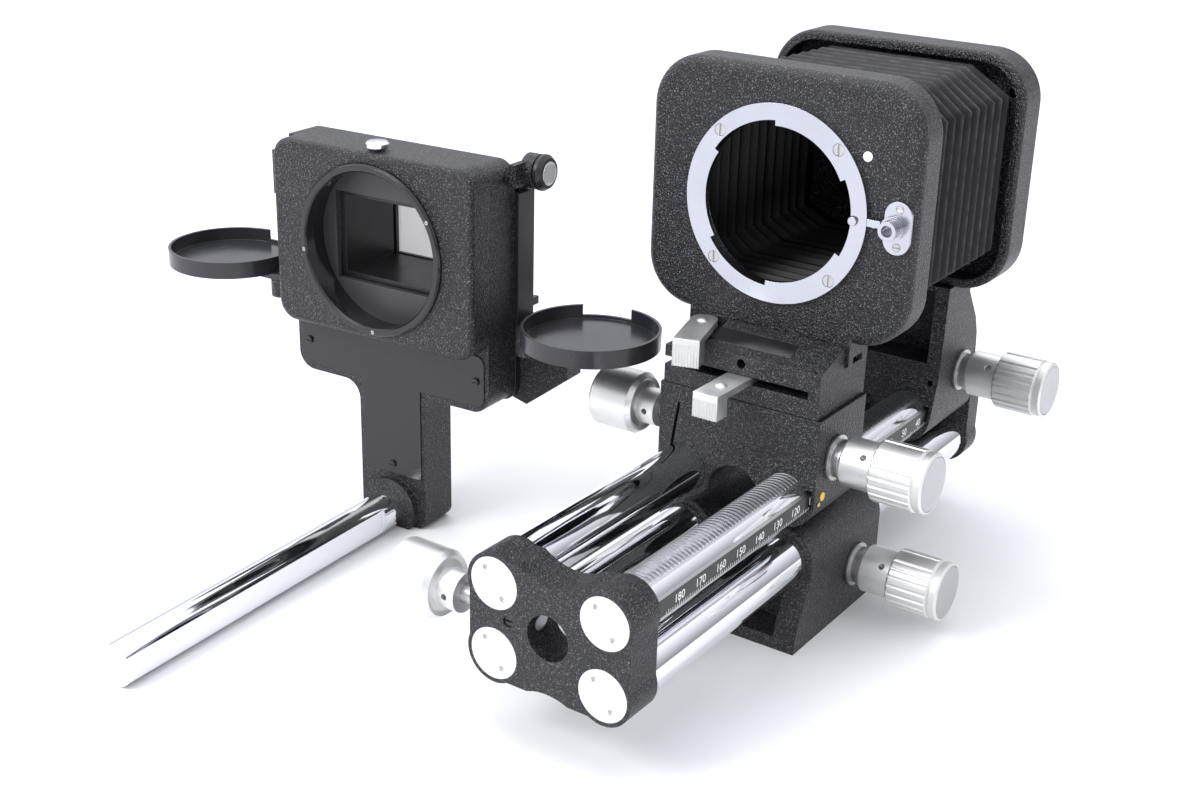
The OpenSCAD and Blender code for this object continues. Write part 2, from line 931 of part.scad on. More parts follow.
// Pleated bellows: rings with cut corners, alternately full and drawn in, and an inner wall behind
function bellows_ring(hw, hh, cut) = [
    [hw, -hh + cut], [hw, hh - cut], [hw - cut, hh], [-hw + cut, hh],
    [-hw, hh - cut], [-hw, -hh + cut], [-hw + cut, -hh], [hw - cut, -hh]
];

function bellows_points(shrink) = [
    for (i = [0 : 2 * bellows_pleats + 1])
        let (folded = i <= 2 * bellows_pleats)
        let (depth = i == 0 ? pleat_depth * 0.3 : (folded ? (i + 1) % 2 : 1) * pleat_depth)
        let (inset = depth + shrink)
        let (step = (bellows_last_y - bellows_y0) / (2 * bellows_pleats))
        let (y = folded ? bellows_y0 + step * i : bellows_y1)
        for (q = bellows_ring(bellows_hw - inset, bellows_hh - inset, bellows_cut - inset * 0.58))
            [q[0], y, bellows_cz + q[1]]
];

module bellows() {
    rings = 2 * bellows_pleats + 2;
    half = rings * 8;
    outer = bellows_points(0);
    inner = bellows_points(bellows_wall);
    sides = [
        for (i = [0 : rings - 2], k = [0 : 7])
            let (a = i * 8 + k, b = i * 8 + (k + 1) % 8)
            for (t = [[a, b, b + 8], [a, b + 8, a + 8]])
                t
    ];
    walls = [for (t = sides) [t[0] + half, t[2] + half, t[1] + half]];
    ends = [
        for (k = [0 : 7])
            let (a = k, b = (k + 1) % 8, c = (rings - 1) * 8 + a, d = (rings - 1) * 8 + b)
            for (t = [[a, a + half, b + half], [a, b + half, b],
                      [c, d, d + half], [c, d + half, c + half]])
                t
    ];
    color(soft_black)
        at_bush()
        polyhedron(points = concat(outer, inner), faces = concat(sides, walls, ends));
}

module rear_carriage() {
    top = rear_cz - rear_h / 2 + 3;
    cheek = 4.5;
    hollow_z = rail_mid_z + 27;
    color(black)
        at_bush()
        difference() {
            intersection() {
                upright(rear_foot_y, rear_foot_y - rear_nose_y)
                    carriage_section(top);
                translate([-40, 0, 0])
                    rotate([90, 0, 90])
                        linear_extrude(height = 80)
                            polygon([
                                [rear_nose_y, rail_mid_z], [rear_nose_y, rail_mid_z + 8],
                                [rear_col_y - 1.5, rail_mid_z + 23], [rear_col_y, top],
                                [rear_foot_y - 11.5, top], [rear_foot_y - 10.9, rail_mid_z + 47.3],
                                [rear_foot_y - 3.5, rail_mid_z + 37], [rear_foot_y - 1, rail_mid_z + 31],
                                [rear_foot_y, rail_mid_z + 22], [rear_foot_y, rail_mid_z]
                            ]);
            }
            carriage_bores(rear_nose_y, rear_foot_y, rear_axis_y);
            translate([-carriage_hw + cheek, rear_nose_y, hollow_z])
                cube([2 * (carriage_hw - cheek), 17, rear_cz - rear_h / 2 - 1.5 - hollow_z]);
            along_front(carriage_hw - 2.6, rear_col_y + 4, rail_mid_z + 21)
                cylinder(r = 0.9, h = 7);
            rear_frame_space();
        }
}

// Room that the rear frame fills where it stands on the rear carriage
module rear_frame_space() {
    translate([0, 0, rear_cz])
        upright(rear_frame_back + 0.02, rear_frame_back - rear_rim_y + 12)
            round_rect(board_w + 0.6, rear_h + 0.04, board_r);
    along_front(0, camera_flange_y, lens_z)
        cylinder(r = rear_boss_r + 0.5, h = camera_flange_y - rear_frame_back);
}

// Dished frame behind the bellows, with a deep rim and the bore of the camera mount
module rear_frame() {
    rim = 2.9;
    color(black)
        at_bush()
        difference() {
            union() {
                translate([0, rear_frame_back, rear_cz])
                    rotate([90, 0, 0])
                        soft_slab(board_w, rear_h, rear_frame_back - rear_rim_y, board_r, 1.5);
                along_front(0, rear_boss_y, lens_z)
                    cylinder(r = rear_boss_r, h = rear_boss_y - rear_frame_back + 1);
            }
            translate([0, 0, rear_cz])
                upright(rear_floor_y, rear_floor_y - rear_rim_y + over)
                    round_rect(board_w - 2 * rim, rear_h - 2 * rim, board_r - rim);
            along_front(0, rear_boss_y + over, lens_z)
                cylinder(r = 24.95, h = 12);
            along_front(button_x, rear_frame_back + over, button_z)
                cylinder(r = 1.55, h = 6);
        }
}

module rear_drive_knob() {
    color(satin)
        at_bush()
        along_x(carriage_hw, rear_axis_y, drive_z)
            drive_knob();
}

module rear_pinion_shaft() {
    color(chrome)
        at_bush()
        pinion_shaft(rear_axis_y, drive_z, 1);
}

module rear_lock_knob() {
    color(satin)
        at_bush()
        lock_knob(rear_axis_y);
}

module rear_lock_screw() {
    color(steel)
        at_bush()
        lock_screw(rear_axis_y);
}

// Turning ring behind the rear frame, knurled at the back edge
module camera_mount_ring() {
    knurls = 48;
    hub = 24.9;
    color(black)
        at_bush()
        difference() {
            union() {
                along_front(0, camera_flange_y - 2.6, lens_z)
                    cylinder(r = mount_ring_r, h = camera_flange_y - 2.6 - rear_boss_y - 0.1);
                along_front(0, rear_boss_y + 0.2, lens_z)
                    cylinder(r = hub, h = rear_boss_y - rear_floor_y);
            }
            along_front(0, camera_flange_y, lens_z)
                cylinder(r = 21.5, h = 40);
            for (i = [0 : knurls - 1])
                along_front(0, camera_flange_y - 2, lens_z)
                    rotate(i * 360 / knurls)
                        translate([mount_ring_r + 0.3, 0, 0])
                            cylinder(r = 0.8, h = 9, $fn = 16);
        }
}

// Male bayonet that a camera locks onto: flange, short barrel and three outward lugs
module camera_bayonet() {
    barrel = 5.5;
    color(chrome)
        at_bush()
        along_front(0, camera_flange_y, lens_z)
            difference() {
                union() {
                    translate([0, 0, 0])
                        cylinder(r = 29.5, h = 2.5);
                    translate([0, 0, -barrel])
                        cylinder(r = 21.9, h = barrel + 0.1);
                    for (a = [0, 120, 240])
                        rotate(a)
                            intersection() {
                                translate([0, 0, -barrel])
                                    cylinder(r = 23.4, h = 1.4);
                                translate([0, 0, -barrel])
                                    linear_extrude(height = 1.4)
                                        polygon([[0, 0], [40, -24], [40, 24]]);
                            }
                }
                translate([0, 0, -barrel - over])
                    cylinder(r = 20, h = barrel + 4);
            }
}

button_x = 34;
button_z = lens_z + 23;

module mount_lock_button() {
    color(chrome)
        at_bush()
        along_front(button_x, rear_frame_back + 4, button_z)
            rotate_extrude()
                polygon([[0, 0], [2.6, 0], [3, 0.5], [3, 2.6], [1.5, 2.6], [1.5, 6.2], [0, 6.2]]);
}

// Section of the block on the lower rails: a lobe over each rail, a dip between, a flat foot
module block_section() {
    dip_r = 8.4;
    difference() {
        union() {
            translate([-carriage_hw, 0])
                square([2 * carriage_hw, lower_z]);
            for (i = [-1, 1])
                translate([i * rail_dx, lower_z])
                    circle(lobe_r);
            translate([-rail_dx, lower_z - 1])
                square([2 * rail_dx, 6]);
        }
        translate([0, rail_mid_z - 6.3])
            circle(dip_r);
        translate([-dip_r, rail_mid_z - 6.3])
            square([2 * dip_r, 20]);
    }
}

module tripod_block() {
    back = block_y + block_len;
    recess_hw = 19;
    color(black)
        at_bush()
        difference() {
            intersection() {
                upright(back, block_len)
                    block_section();
                translate([-40, 0, 0])
                    rotate([90, 0, 90])
                        linear_extrude(height = 80)
                            polygon([
                                [block_y, 0], [block_y + 1.5, 8], [block_y + 8, 20],
                                [block_y + 8, 40], [back, 40], [back, 0]
                            ]);
            }
            for (i = [-1, 1])
                along_front(i * rail_dx, back + over, lower_z)
                    cylinder(r = rail_r + slide_gap, h = block_len + 2 * over);
            along_x(-carriage_hw - over, block_axis_y, block_drive_z)
                cylinder(r = shaft_r + slide_gap, h = 2 * (carriage_hw + over));
            along_x(rail_dx - pinion_w / 2 - body_gap, block_axis_y, block_drive_z)
                cylinder(r = pinion_r + tooth_h, h = pinion_w + 2 * body_gap);
            translate([-recess_hw, block_y - over, 3.5])
                cube([2 * recess_hw, 13, 12.5]);
            translate([0, bush_y, -over])
                cylinder(r = 6.02, h = 9.5);
        }
}

// Steel bush for the tripod screw, let into the foot
module tripod_bush() {
    color(steel)
        at_bush()
        translate([0, bush_y, 0])
            difference() {
                cylinder(r = 6, h = 9);
                translate([0, 0, -over])
                    cylinder(r = 3.175, h = 8.5);
            }
}

module block_drive_knob() {
    color(satin)
        at_bush()
        along_x(carriage_hw, block_axis_y, block_drive_z)
            drive_knob();
}

module block_pinion_shaft() {
    color(chrome)
        at_bush()
        pinion_shaft(block_axis_y, block_drive_z, -1);
}

// The adapter stands on the table to the left of the rails, turned a little
module on_table() {
    translate([adapter_x, adapter_y, 0])
        rotate([0, 0, adapter_turn])
            children();
}

// Outline of the adapter's back casting: stem below, wide body above
module stand_outline() {
    corner = 4;
    fillet = 6;
    translate([0, body_z0 / 2 + 4])
        round_rect(2 * stem_hw, body_z0 + 8, corner);
    translate([0, (body_z0 + body_z1) / 2])
        round_rect(2 * body_hw, body_z1 - body_z0, 6);
    difference() {
        translate([-stem_hw - fillet, body_z0 - fillet])
            square([2 * (stem_hw + fillet), fillet + 1]);
        for (i = [-1, 1])
            translate([i * (stem_hw + fillet), body_z0 - fillet])
                circle(fillet);
    }
}

module adapter_stand() {
    win_s = gate_w / 2 + gate_wall + shift_s + 0.8;
    win_z = gate_h / 2 + gate_wall + shift_z + 0.8;
    color(black)
        at_bush()
        on_table()
            difference() {
                union() {
                    upright(body_d, body_d - stem_d)
                        stand_outline();
                    intersection() {
                        along_front(0, stem_d + 1, rod_r)
                            cylinder(r = 10, h = 3.6);
                        translate([-20, 0, 0])
                            cube([40, 200, 40]);
                    }
                    for (i = [-1, 1])
                        tray_bracket(i);
                    lock_lug();
                    translate([-body_hw - 0.6, stem_d, body_z1 - 9])
                        cube([8, body_d - stem_d, 9]);
                }
                along_front(0, body_d - 3, rod_r)
                    cylinder(r = rod_r + 0.02, h = 40);
                translate([-win_s, stem_d + mask_t, gate_z - win_z])
                    cube([2 * win_s, body_d, 2 * win_z]);
                along_front(0, stem_d + mask_t + 0.02, gate_z)
                    cylinder(r = opening_r, h = mask_t + 4);
                upright(stem_d + 0.6, 5)
                    nameplate_outline(0.05);
                along_x(body_hw - 4, lock_d, lock_z)
                    cylinder(r = 2.05, h = 12);
            }
}

// Lug at the upper right of the casting that the stage's lock knob turns in
module lock_lug() {
    lug_r = 5.4;
    translate([body_hw - body_gap, body_d - 3, lock_z - 3.5])
        cube([2.3, 6, 7]);
    translate([body_hw + body_gap, lock_d, lock_z])
        rotate([0, 90, 0])
            cylinder(r = lug_r, h = lock_lug_t - body_gap);
}

// Bracket behind the casting: its root passes through the back plate, its arm reaches under the tray
module tray_bracket(side) {
    root_z0 = 55;
    root_z1 = 66;
    arm_d0 = body_d + back_t + 0.05;
    arm_t = 8;
    low = arm_z - 6;
    mirror([side < 0 ? 1 : 0, 0, 0])
        difference() {
            union() {
                translate([root_s0, body_d - 1, root_z0])
                    cube([root_s1 - root_s0, back_t + 2, root_z1 - root_z0]);
                translate([0, arm_d0 + arm_t, 0])
                    rotate([90, 0, 0])
                        linear_extrude(height = arm_t)
                            polygon([
                                [root_s0, root_z0], [root_s0, root_z1], [guide_s1 + body_gap, root_z1],
                                [guide_s1 + body_gap, arm_z - body_gap],
                                [tray_pivot_s + 7, arm_z - body_gap], [tray_pivot_s + 7, 57.5],
                                [body_hw + 3, body_z0 - 1], [root_s0, body_z0 + 2]
                            ]);
                translate([tray_pivot_s - 4, tray_d, low])
                    cube([8, arm_d0 + 1 - tray_d, 6 - body_gap]);
                translate([tray_pivot_s, tray_d, low])
                    cylinder(r = 4, h = 6 - body_gap);
            }
            translate([tray_pivot_s, tray_d, low + 0.8])
                cylinder(r = 1.5 + slide_gap, h = 9);
        }
}

// Rod with a long flat for the clamp screw
module adapter_rod() {
    flat_s = 5;
    color(chrome)
        at_bush()
        on_table()
            difference() {
                along_front(0, body_d - 3.1, rod_r)
                    cylinder(r = rod_r, h = body_d - 3.1);
                translate([flat_s, -over, -1])
                    cube([5, 111, 2 * rod_r + 2]);
            }
}

// T-shaped nameplate outline, grown by g
module nameplate_outline(g) {
    plate_top = housing_z0 - 0.6;
    plate_low = body_z0 + 2;
    hw = body_hw - 1.6;
    stem = stem_hw - 1.4;
    translate([0, (plate_top + plate_low) / 2])
        round_rect(2 * hw + 2 * g, plate_top - plate_low + 2 * g, 3);
    translate([-stem - g, 17.8 - g])
        square([2 * stem + 2 * g, plate_low - 14]);
}

module adapter_nameplate() {
    color(soft_black)
        at_bush()
        on_table()
            difference() {
                upright(stem_d + 0.6, 0.9)
                    nameplate_outline(0);
                along_front(0, stem_d + 2, rod_r)
                    cylinder(r = 10.3, h = 5);
                for (p = nameplate_screw_places)
                    along_front(p[0], stem_d + 1, p[1])
                        cylinder(r = 0.8, h = 3);
            }
}

nameplate_screw_places = [[-33.3, 57.3], [33.3, 57.3], [0, 21]];

module nameplate_screws() {
    color(soft_black)
        at_bush()
        on_table()
            for (p = nameplate_screw_places)
                along_front(p[0], stem_d - 0.3, p[1])
                    slotted_head(1.3, 0.7);
}

// Front housing with the round opening that faces the lens
module adapter_housing() {
    h = housing_z1 - housing_z0;
    t = stem_d - housing_d;
    color(black)
        at_bush()
        on_table()
            difference() {
                union() {
                    translate([0, stem_d, housing_z0 + h / 2])
                        rotate([90, 0, 0])
                            soft_slab(housing_w, h, t, 6.5, 1.8);
                    translate([-housing_w / 2 - 1.4, stem_d - 6.9, 107])
                        cube([3, 6.9, 14]);
                }
                along_front(0, stem_d + over, gate_z)
                    cylinder(r = opening_r, h = t + 2 * over);
                translate([0, housing_d + 5, housing_z1 - 4])
                    cylinder(r = 1.55, h = 5);
            }
}

// Glossy ring in the opening, its front lip wider than its sleeve
module adapter_ring() {
    lip_r = 24.6;
    depth = stem_d - housing_d;
    color(soft_black)
        at_bush()
        on_table()
            difference() {
                along_front(0, stem_d, gate_z)
                    rotate_extrude()
                        polygon([
                            [lip_r + 1.2, 0], [opening_r - 0.02, 0], [opening_r - 0.02, depth + 0.6],
                            [opening_r - 0.6, depth + 1.2], [lip_r + 0.5, depth + 1.2],
                            [lip_r, depth + 0.6], [lip_r, depth - 3], [lip_r + 1.2, depth - 4]
                        ]);
                for (a = adapter_screw_angles)
                    along_front(25.9 * cos(a), housing_d, gate_z + 25.9 * sin(a))
                        cylinder(r = 0.75, h = 3);
            }
}

adapter_screw_angles = [188, 272, 30];

module adapter_ring_screws() {
    color(steel)
        at_bush()
        on_table()
            for (a = adapter_screw_angles)
                along_front(25.9 * cos(a), housing_d, gate_z + 25.9 * sin(a))
                    slotted_head(0.7, 1.1);
}

// Smooth mask plate at the bottom of the opening, with the window onto the gate
module gate_mask() {
    color([0.2, 0.2, 0.21])
        at_bush()
        on_table()
            difference() {
                along_front(0, stem_d + mask_t, gate_z)
                    cylinder(r = opening_r - 0.02, h = mask_t);
                translate([-gate_w / 2 - 2, stem_d - 1, gate_z - gate_h / 2 - 1.8])
                    cube([gate_w + 4, mask_t + 2, gate_h + 3.6]);
            }
}

// Smooth plate on the back of the casting, its side guides hold the moving stage
module back_plate() {
    guide_z0 = 70;
    guide_d = 8.7;
    win_s = gate_w / 2 + gate_wall + shift_s + 0.8;
    win_z = gate_h / 2 + gate_wall + shift_z + 0.8;
    plate_z1 = lock_z - 6;
    color(black)
        at_bush()
        on_table()
            difference() {
                union() {
                    translate([0, 0, (body_z0 + plate_z1) / 2])
                        upright(body_d + back_t, back_t)
                            round_rect(2 * body_hw + 1, plate_z1 - body_z0, 5);
                    for (i = [-1, 1])
                        translate([i * (guide_s0 + guide_s1) / 2, body_d + guide_d / 2, (guide_z0 + plate_z1) / 2])
                            cube([guide_s1 - guide_s0, guide_d, plate_z1 - guide_z0], center = true);
                    translate([guide_s0, body_d + guide_d - 1, 77])
                        cube([guide_s1 - guide_s0, 4, 2.5]);
                }
                translate([-win_s, body_d - over, gate_z - win_z])
                    cube([2 * win_s, back_t + 2 * over, 2 * win_z]);
                for (i = [-1, 1])
                    translate([i * (root_s0 + root_s1) / 2, body_d + back_t / 2, 60.5])
                        cube([root_s1 - root_s0 + 0.1, 2 * back_t, 11.1], center = true);
            }
}

module ring_lock_screw() {
    color(chrome)
        at_bush()
        on_table()
            translate([0, housing_d + 5, housing_z1 - 3]) {
                cylinder(r = 1.5, h = 4.2);
                translate([0, 0, 3.2])
                    rotate_extrude()
                        polygon([[0, 0], [2.6, 0], [3.6, 0.9], [3.6, 2], [3, 2.6], [0, 2.8]]);
            }
}

// Frame that moves up and down behind the casting, with the rails for the film gate
module stage_frame() {
    half_w = 37.4;
    rail_hw = 35.4;
    half_h = 22.5;
    win_s = gate_w / 2 + gate_wall + shift_s + 0.8;
    win_z = gate_h / 2 + gate_wall + body_gap;
    rail_h = 3;
    color(black)
        at_bush()
        on_table()
            difference() {
                union() {
                    translate([-half_w, frame_d, gate_z - half_h])
                        cube([2 * half_w, frame_t, 2 * half_h]);
                    for (j = [-1, 1])
                        translate([-rail_hw, frame_d, gate_z + j * (half_h - rail_h / 2) - rail_h / 2])
                            cube([2 * rail_hw, frame_t + gate_t + body_gap, rail_h]);
                }
                translate([-win_s, frame_d - over, gate_z - win_z])
                    cube([2 * win_s, frame_t + 2 * over, 2 * win_z]);
                for (i = [-1, 1])
                    translate([i * (half_w - 3), frame_d - over, gate_z])
                        rotate([-90, 0, 0])
                            cylinder(r = 1.2, h = 3);
            }
}

module stage_lock_knob() {
    color(soft_black)
        at_bush()
        on_table()
            along_x(body_hw + lock_lug_t + body_gap, lock_d, lock_z) {
                rotate_extrude()
                    polygon([
                        [0, 0], [5.2, 0], [5.6, 0.5], [5.6, 1.6], [4.6, 3.0], [0, 3.0]
                    ]);
                translate([0, 0, -5])
                    cylinder(r = 2, h = 5.1);
            }
}

// Film gate: a plate that slides sideways, with a tunnel that reaches forward to the mask
module film_gate() {
    half_w = 27;
    half_h = 19;
    tunnel_d0 = stem_d + mask_t + body_gap;
    lug_hw = 2;
    lug_r = 1.8;
    color(black)
        at_bush()
        on_table()
            difference() {
                union() {
                    translate([-half_w, gate_d, gate_z - half_h])
                        cube([2 * half_w, gate_t, 2 * half_h]);
                    translate([-gate_w / 2 - gate_wall, tunnel_d0, gate_z - gate_h / 2 - gate_wall])
                        cube([gate_w + 2 * gate_wall, gate_d - tunnel_d0 + 1, gate_h + 2 * gate_wall]);
                    for (i = [-1, 1]) {
                        translate([i * 20 - lug_hw, gate_d, door_axis_z - lug_r])
                            cube([2 * lug_hw, door_axis_d - gate_d, 2 * lug_r]);
                        along_x(i * 20 - lug_hw, door_axis_d, door_axis_z)
                            cylinder(r = lug_r, h = 2 * lug_hw);
                    }
                }
                translate([-gate_w / 2, tunnel_d0 - over, gate_z - gate_h / 2])
                    cube([gate_w, gate_d + gate_t - tunnel_d0 + 2 * over, gate_h]);
                along_x(-half_w, door_axis_d, door_axis_z)
                    cylinder(r = 0.85, h = 2 * half_w);
            }
}

door_axis_d = door_d + door_t / 2;
door_axis_z = gate_z - 19 + 1.8;

// Door behind the gate that holds the opal plate and swings down on its pin
module diffuser_door() {
    hw = 23.5;
    low = door_axis_z + 2.7;
    high = gate_z + 19;
    color(black)
        at_bush()
        on_table()
            difference() {
                union() {
                    translate([-hw, door_d, low])
                        cube([2 * hw, door_t, high - low]);
                    along_x(-17.6, door_axis_d, door_axis_z)
                        cylinder(r = 1.8, h = 35.2);
                    translate([-17.6, door_axis_d - 1, door_axis_z])
                        cube([35.2, 2, low - door_axis_z + 1]);
                    translate([-6, door_d + door_t - 1, high - 5])
                        cube([12, 3.5, 4]);
                }
                translate([-gate_w / 2, door_d - over, gate_z - gate_h / 2])
                    cube([gate_w, door_t + 2 * over, gate_h]);
                translate([-gate_w / 2 - 1.5, door_d + 1.4, gate_z - gate_h / 2 - 1.5])
                    cube([gate_w + 3, door_t, gate_h + 3]);
                along_x(-20, door_axis_d, door_axis_z)
                    cylinder(r = 0.85, h = 40);
            }
}

module opal_plate() {
    color([0.96, 0.96, 0.95, 0.9])
        at_bush()
        on_table()
            translate([-gate_w / 2 - 1.45, door_d + 1.45, gate_z - gate_h / 2 - 1.45])
                cube([gate_w + 2.9, 2.4, gate_h + 2.9]);
}

module door_hinge_pin() {
    color(steel)
        at_bush()
        on_table()
            along_x(-22, door_axis_d, door_axis_z)
                cylinder(r = 0.8, h = 44);
}

// Round dish for rolled film, its rim open at the back, on an arm that swings about an upright pivot
module film_tray(side) {
    wall = 0.9;
    floor_t = 1.2;
    gap_from = 85;
    gap_to = 128;
    gap_mid = (gap_from + gap_to) / 2;
    gap_w = 2 * tray_r * sin((gap_to - gap_from) / 2);
    arm_hw = 4;
    mirror([side < 0 ? 1 : 0, 0, 0]) {
        difference() {
            translate([tray_s, tray_d, tray_z])
                cylinder(r = tray_r, h = tray_rim);
            translate([tray_s, tray_d, tray_z + floor_t])
                cylinder(r = tray_r - wall, h = tray_rim);
            translate([tray_s, tray_d, tray_z + floor_t + 1])
                rotate(gap_mid)
                    translate([tray_r * 0.6, -gap_w / 2, 0])
                        cube([tray_r, gap_w, tray_rim]);
        }
        translate([tray_pivot_s, tray_d - arm_hw, arm_z])
            cube([tray_s - tray_pivot_s, 2 * arm_hw, tray_z + 0.2 - arm_z]);
        for (p = [tray_pivot_s, tray_s])
            translate([p, tray_d, arm_z])
                cylinder(r = arm_hw, h = tray_z + 0.2 - arm_z);
        translate([tray_pivot_s, tray_d, arm_z - 5])
            cylinder(r = 1.5, h = 5.5);
        translate([tray_pivot_s, tray_d, tray_z])
            rivet_dome(0.1);
    }
}

module left_film_tray() {
    color(soft_black)
        at_bush()
        on_table()
            film_tray(-1);
}

module right_film_tray() {
    color(soft_black)
        at_bush()
        on_table()
            film_tray(1);
}

front_end_plate();
rear_end_plate();
upper_left_rail();
upper_rack_rail();
lower_left_rail();
lower_rack_rail();
rail_end_caps();
scale_bar();
plate_set_screw();
rod_clamp_knob();
rod_clamp_screw();
front_carriage();
index_dot();
index_pin();
front_drive_knob();
front_pinion_shaft();
front_lock_knob();
front_lock_screw();
swing_stage();
stage_nameplate();
swing_lever();
shift_lever();
lens_board();
lens_mount_ring();
mount_ring_screws();
mount_index_dot();
release_plate();
release_lever();
bellows();
rear_carriage();
rear_frame();
rear_drive_knob();
rear_pinion_shaft();
rear_lock_knob();
rear_lock_screw();
camera_mount_ring();
camera_bayonet();
mount_lock_button();
tripod_block();
tripod_bush();
block_drive_knob();
block_pinion_shaft();
adapter_stand();
adapter_rod();
adapter_nameplate();
nameplate_screws();
adapter_housing();
adapter_ring();
adapter_ring_screws();
gate_mask();
back_plate();
ring_lock_screw();
stage_frame();
stage_lock_knob();
film_gate();
diffuser_door();
opal_plate();
left_film_tray();
right_film_tray();
door_hinge_pin();
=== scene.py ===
"""Looks of the slide duplicator: finishes, bellows, filled-in scale, turned trim, and the studio round it.

Laid out as an add-on that is run as a script. Every length is in metres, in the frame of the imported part:
X to the right across the rails, Y back along them, Z up from the table, origin at the tripod bush.
"""
import json
import math

import bpy
import numpy as np
from mathutils import Matrix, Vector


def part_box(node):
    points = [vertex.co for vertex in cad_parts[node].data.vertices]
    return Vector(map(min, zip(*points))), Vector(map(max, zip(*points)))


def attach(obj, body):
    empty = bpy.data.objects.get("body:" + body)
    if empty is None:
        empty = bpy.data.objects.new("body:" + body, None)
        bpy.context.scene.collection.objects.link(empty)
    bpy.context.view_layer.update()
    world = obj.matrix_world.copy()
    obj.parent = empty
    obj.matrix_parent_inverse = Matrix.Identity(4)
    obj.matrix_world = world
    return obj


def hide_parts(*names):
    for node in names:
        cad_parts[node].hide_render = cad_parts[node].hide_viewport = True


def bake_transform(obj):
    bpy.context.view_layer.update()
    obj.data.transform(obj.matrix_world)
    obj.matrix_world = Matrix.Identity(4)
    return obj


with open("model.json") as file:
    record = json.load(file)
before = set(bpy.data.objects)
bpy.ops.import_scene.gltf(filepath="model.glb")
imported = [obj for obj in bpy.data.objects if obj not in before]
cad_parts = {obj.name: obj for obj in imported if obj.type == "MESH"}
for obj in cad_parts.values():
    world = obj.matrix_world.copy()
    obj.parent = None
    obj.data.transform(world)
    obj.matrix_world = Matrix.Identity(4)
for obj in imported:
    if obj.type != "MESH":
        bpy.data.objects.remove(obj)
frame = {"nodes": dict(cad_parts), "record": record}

bl_info = {
    "name": "Slide duplicator looks",
    "version": (1, 0, 0),
    "blender": (4, 5, 0),
    "location": "View3D > Sidebar > Duplicator",
    "description": "Dresses a bellows unit and its slide copying adapter",
    "category": "Object",
}

MM = 0.001
CREASE = math.radians(28)       # faces that meet at more than this keep a crisp edge between them


# Node helpers

def new_group(name, inputs, outputs):
    """Shader node group with the given (name, type, default) inputs and (name, type) outputs."""
    group = bpy.data.node_groups.new(name, "ShaderNodeTree")
    for label, kind, default in inputs:
        socket = group.interface.new_socket(label, in_out="INPUT", socket_type=kind)
        socket.default_value = default
    for label, kind in outputs:
        group.interface.new_socket(label, in_out="OUTPUT", socket_type=kind)
    nodes = group.nodes
    return group, nodes.new("NodeGroupInput"), nodes.new("NodeGroupOutput")


def feed(tree, socket, value):
    """Set an input to a plain number or colour, or link another node's output to it."""
    if isinstance(value, (int, float)):
        socket.default_value = value
    elif isinstance(value, tuple):
        socket.default_value = (*value, 1.0)
    else:
        tree.links.new(value, socket)


def math_node(tree, operation, a, b=None, clamp=False):
    """Math node whose operands are sockets or plain numbers."""
    node = tree.nodes.new("ShaderNodeMath")
    node.operation = operation
    node.use_clamp = clamp
    feed(tree, node.inputs[0], a)
    if b is not None:
        feed(tree, node.inputs[1], b)
    return node.outputs[0]


def ramp_node(tree, factor, stops):
    """Grey ramp over (position, grey) stops."""
    node = tree.nodes.new("ShaderNodeValToRGB")
    ramp = node.color_ramp
    while len(ramp.elements) < len(stops):
        ramp.elements.new(0.5)
    for element, (at, grey) in zip(ramp.elements, stops):
        element.position = at
        element.color = (grey, grey, grey, 1.0)
    tree.links.new(factor, node.inputs[0])
    return node.outputs[0]


def noise_node(tree, vector, scale, detail=2.0, rough=0.5, output="Fac"):
    """Noise texture; scale is in waves per metre."""
    node = tree.nodes.new("ShaderNodeTexNoise")
    node.inputs["Scale"].default_value = scale
    node.inputs["Detail"].default_value = detail
    node.inputs["Roughness"].default_value = rough
    tree.links.new(vector, node.inputs["Vector"])
    return node.outputs[output]


def bump_node(tree, height, distance, normal=None):
    """Normal of a surface raised by height times distance, over another normal if one is given; distance is
    a socket or a plain number."""
    node = tree.nodes.new("ShaderNodeBump")
    node.inputs["Strength"].default_value = 1.0
    feed(tree, node.inputs["Distance"], distance)
    tree.links.new(height, node.inputs["Height"])
    if normal is not None:
        tree.links.new(normal, node.inputs["Normal"])
    return node.outputs["Normal"]


def mix_node(tree, factor, a, b):
    """Colour mix; a and b are sockets or colours."""
    node = tree.nodes.new("ShaderNodeMix")
    node.data_type = "RGBA"
    tree.links.new(factor, node.inputs[0])
    feed(tree, node.inputs[6], a)
    feed(tree, node.inputs[7], b)
    return node.outputs[2]


def place_socket(tree, kind="Object"):
    """Texture coordinates: the place on the piece in its own frame, in metres, or another kind."""
    return tree.nodes.new("ShaderNodeTexCoord").outputs[kind]


def split_xyz(tree, vector):
    """The X, Y and Z outputs of a vector."""
    node = tree.nodes.new("ShaderNodeSeparateXYZ")
    tree.links.new(vector, node.inputs[0])
    return node.outputs


# Shared effects

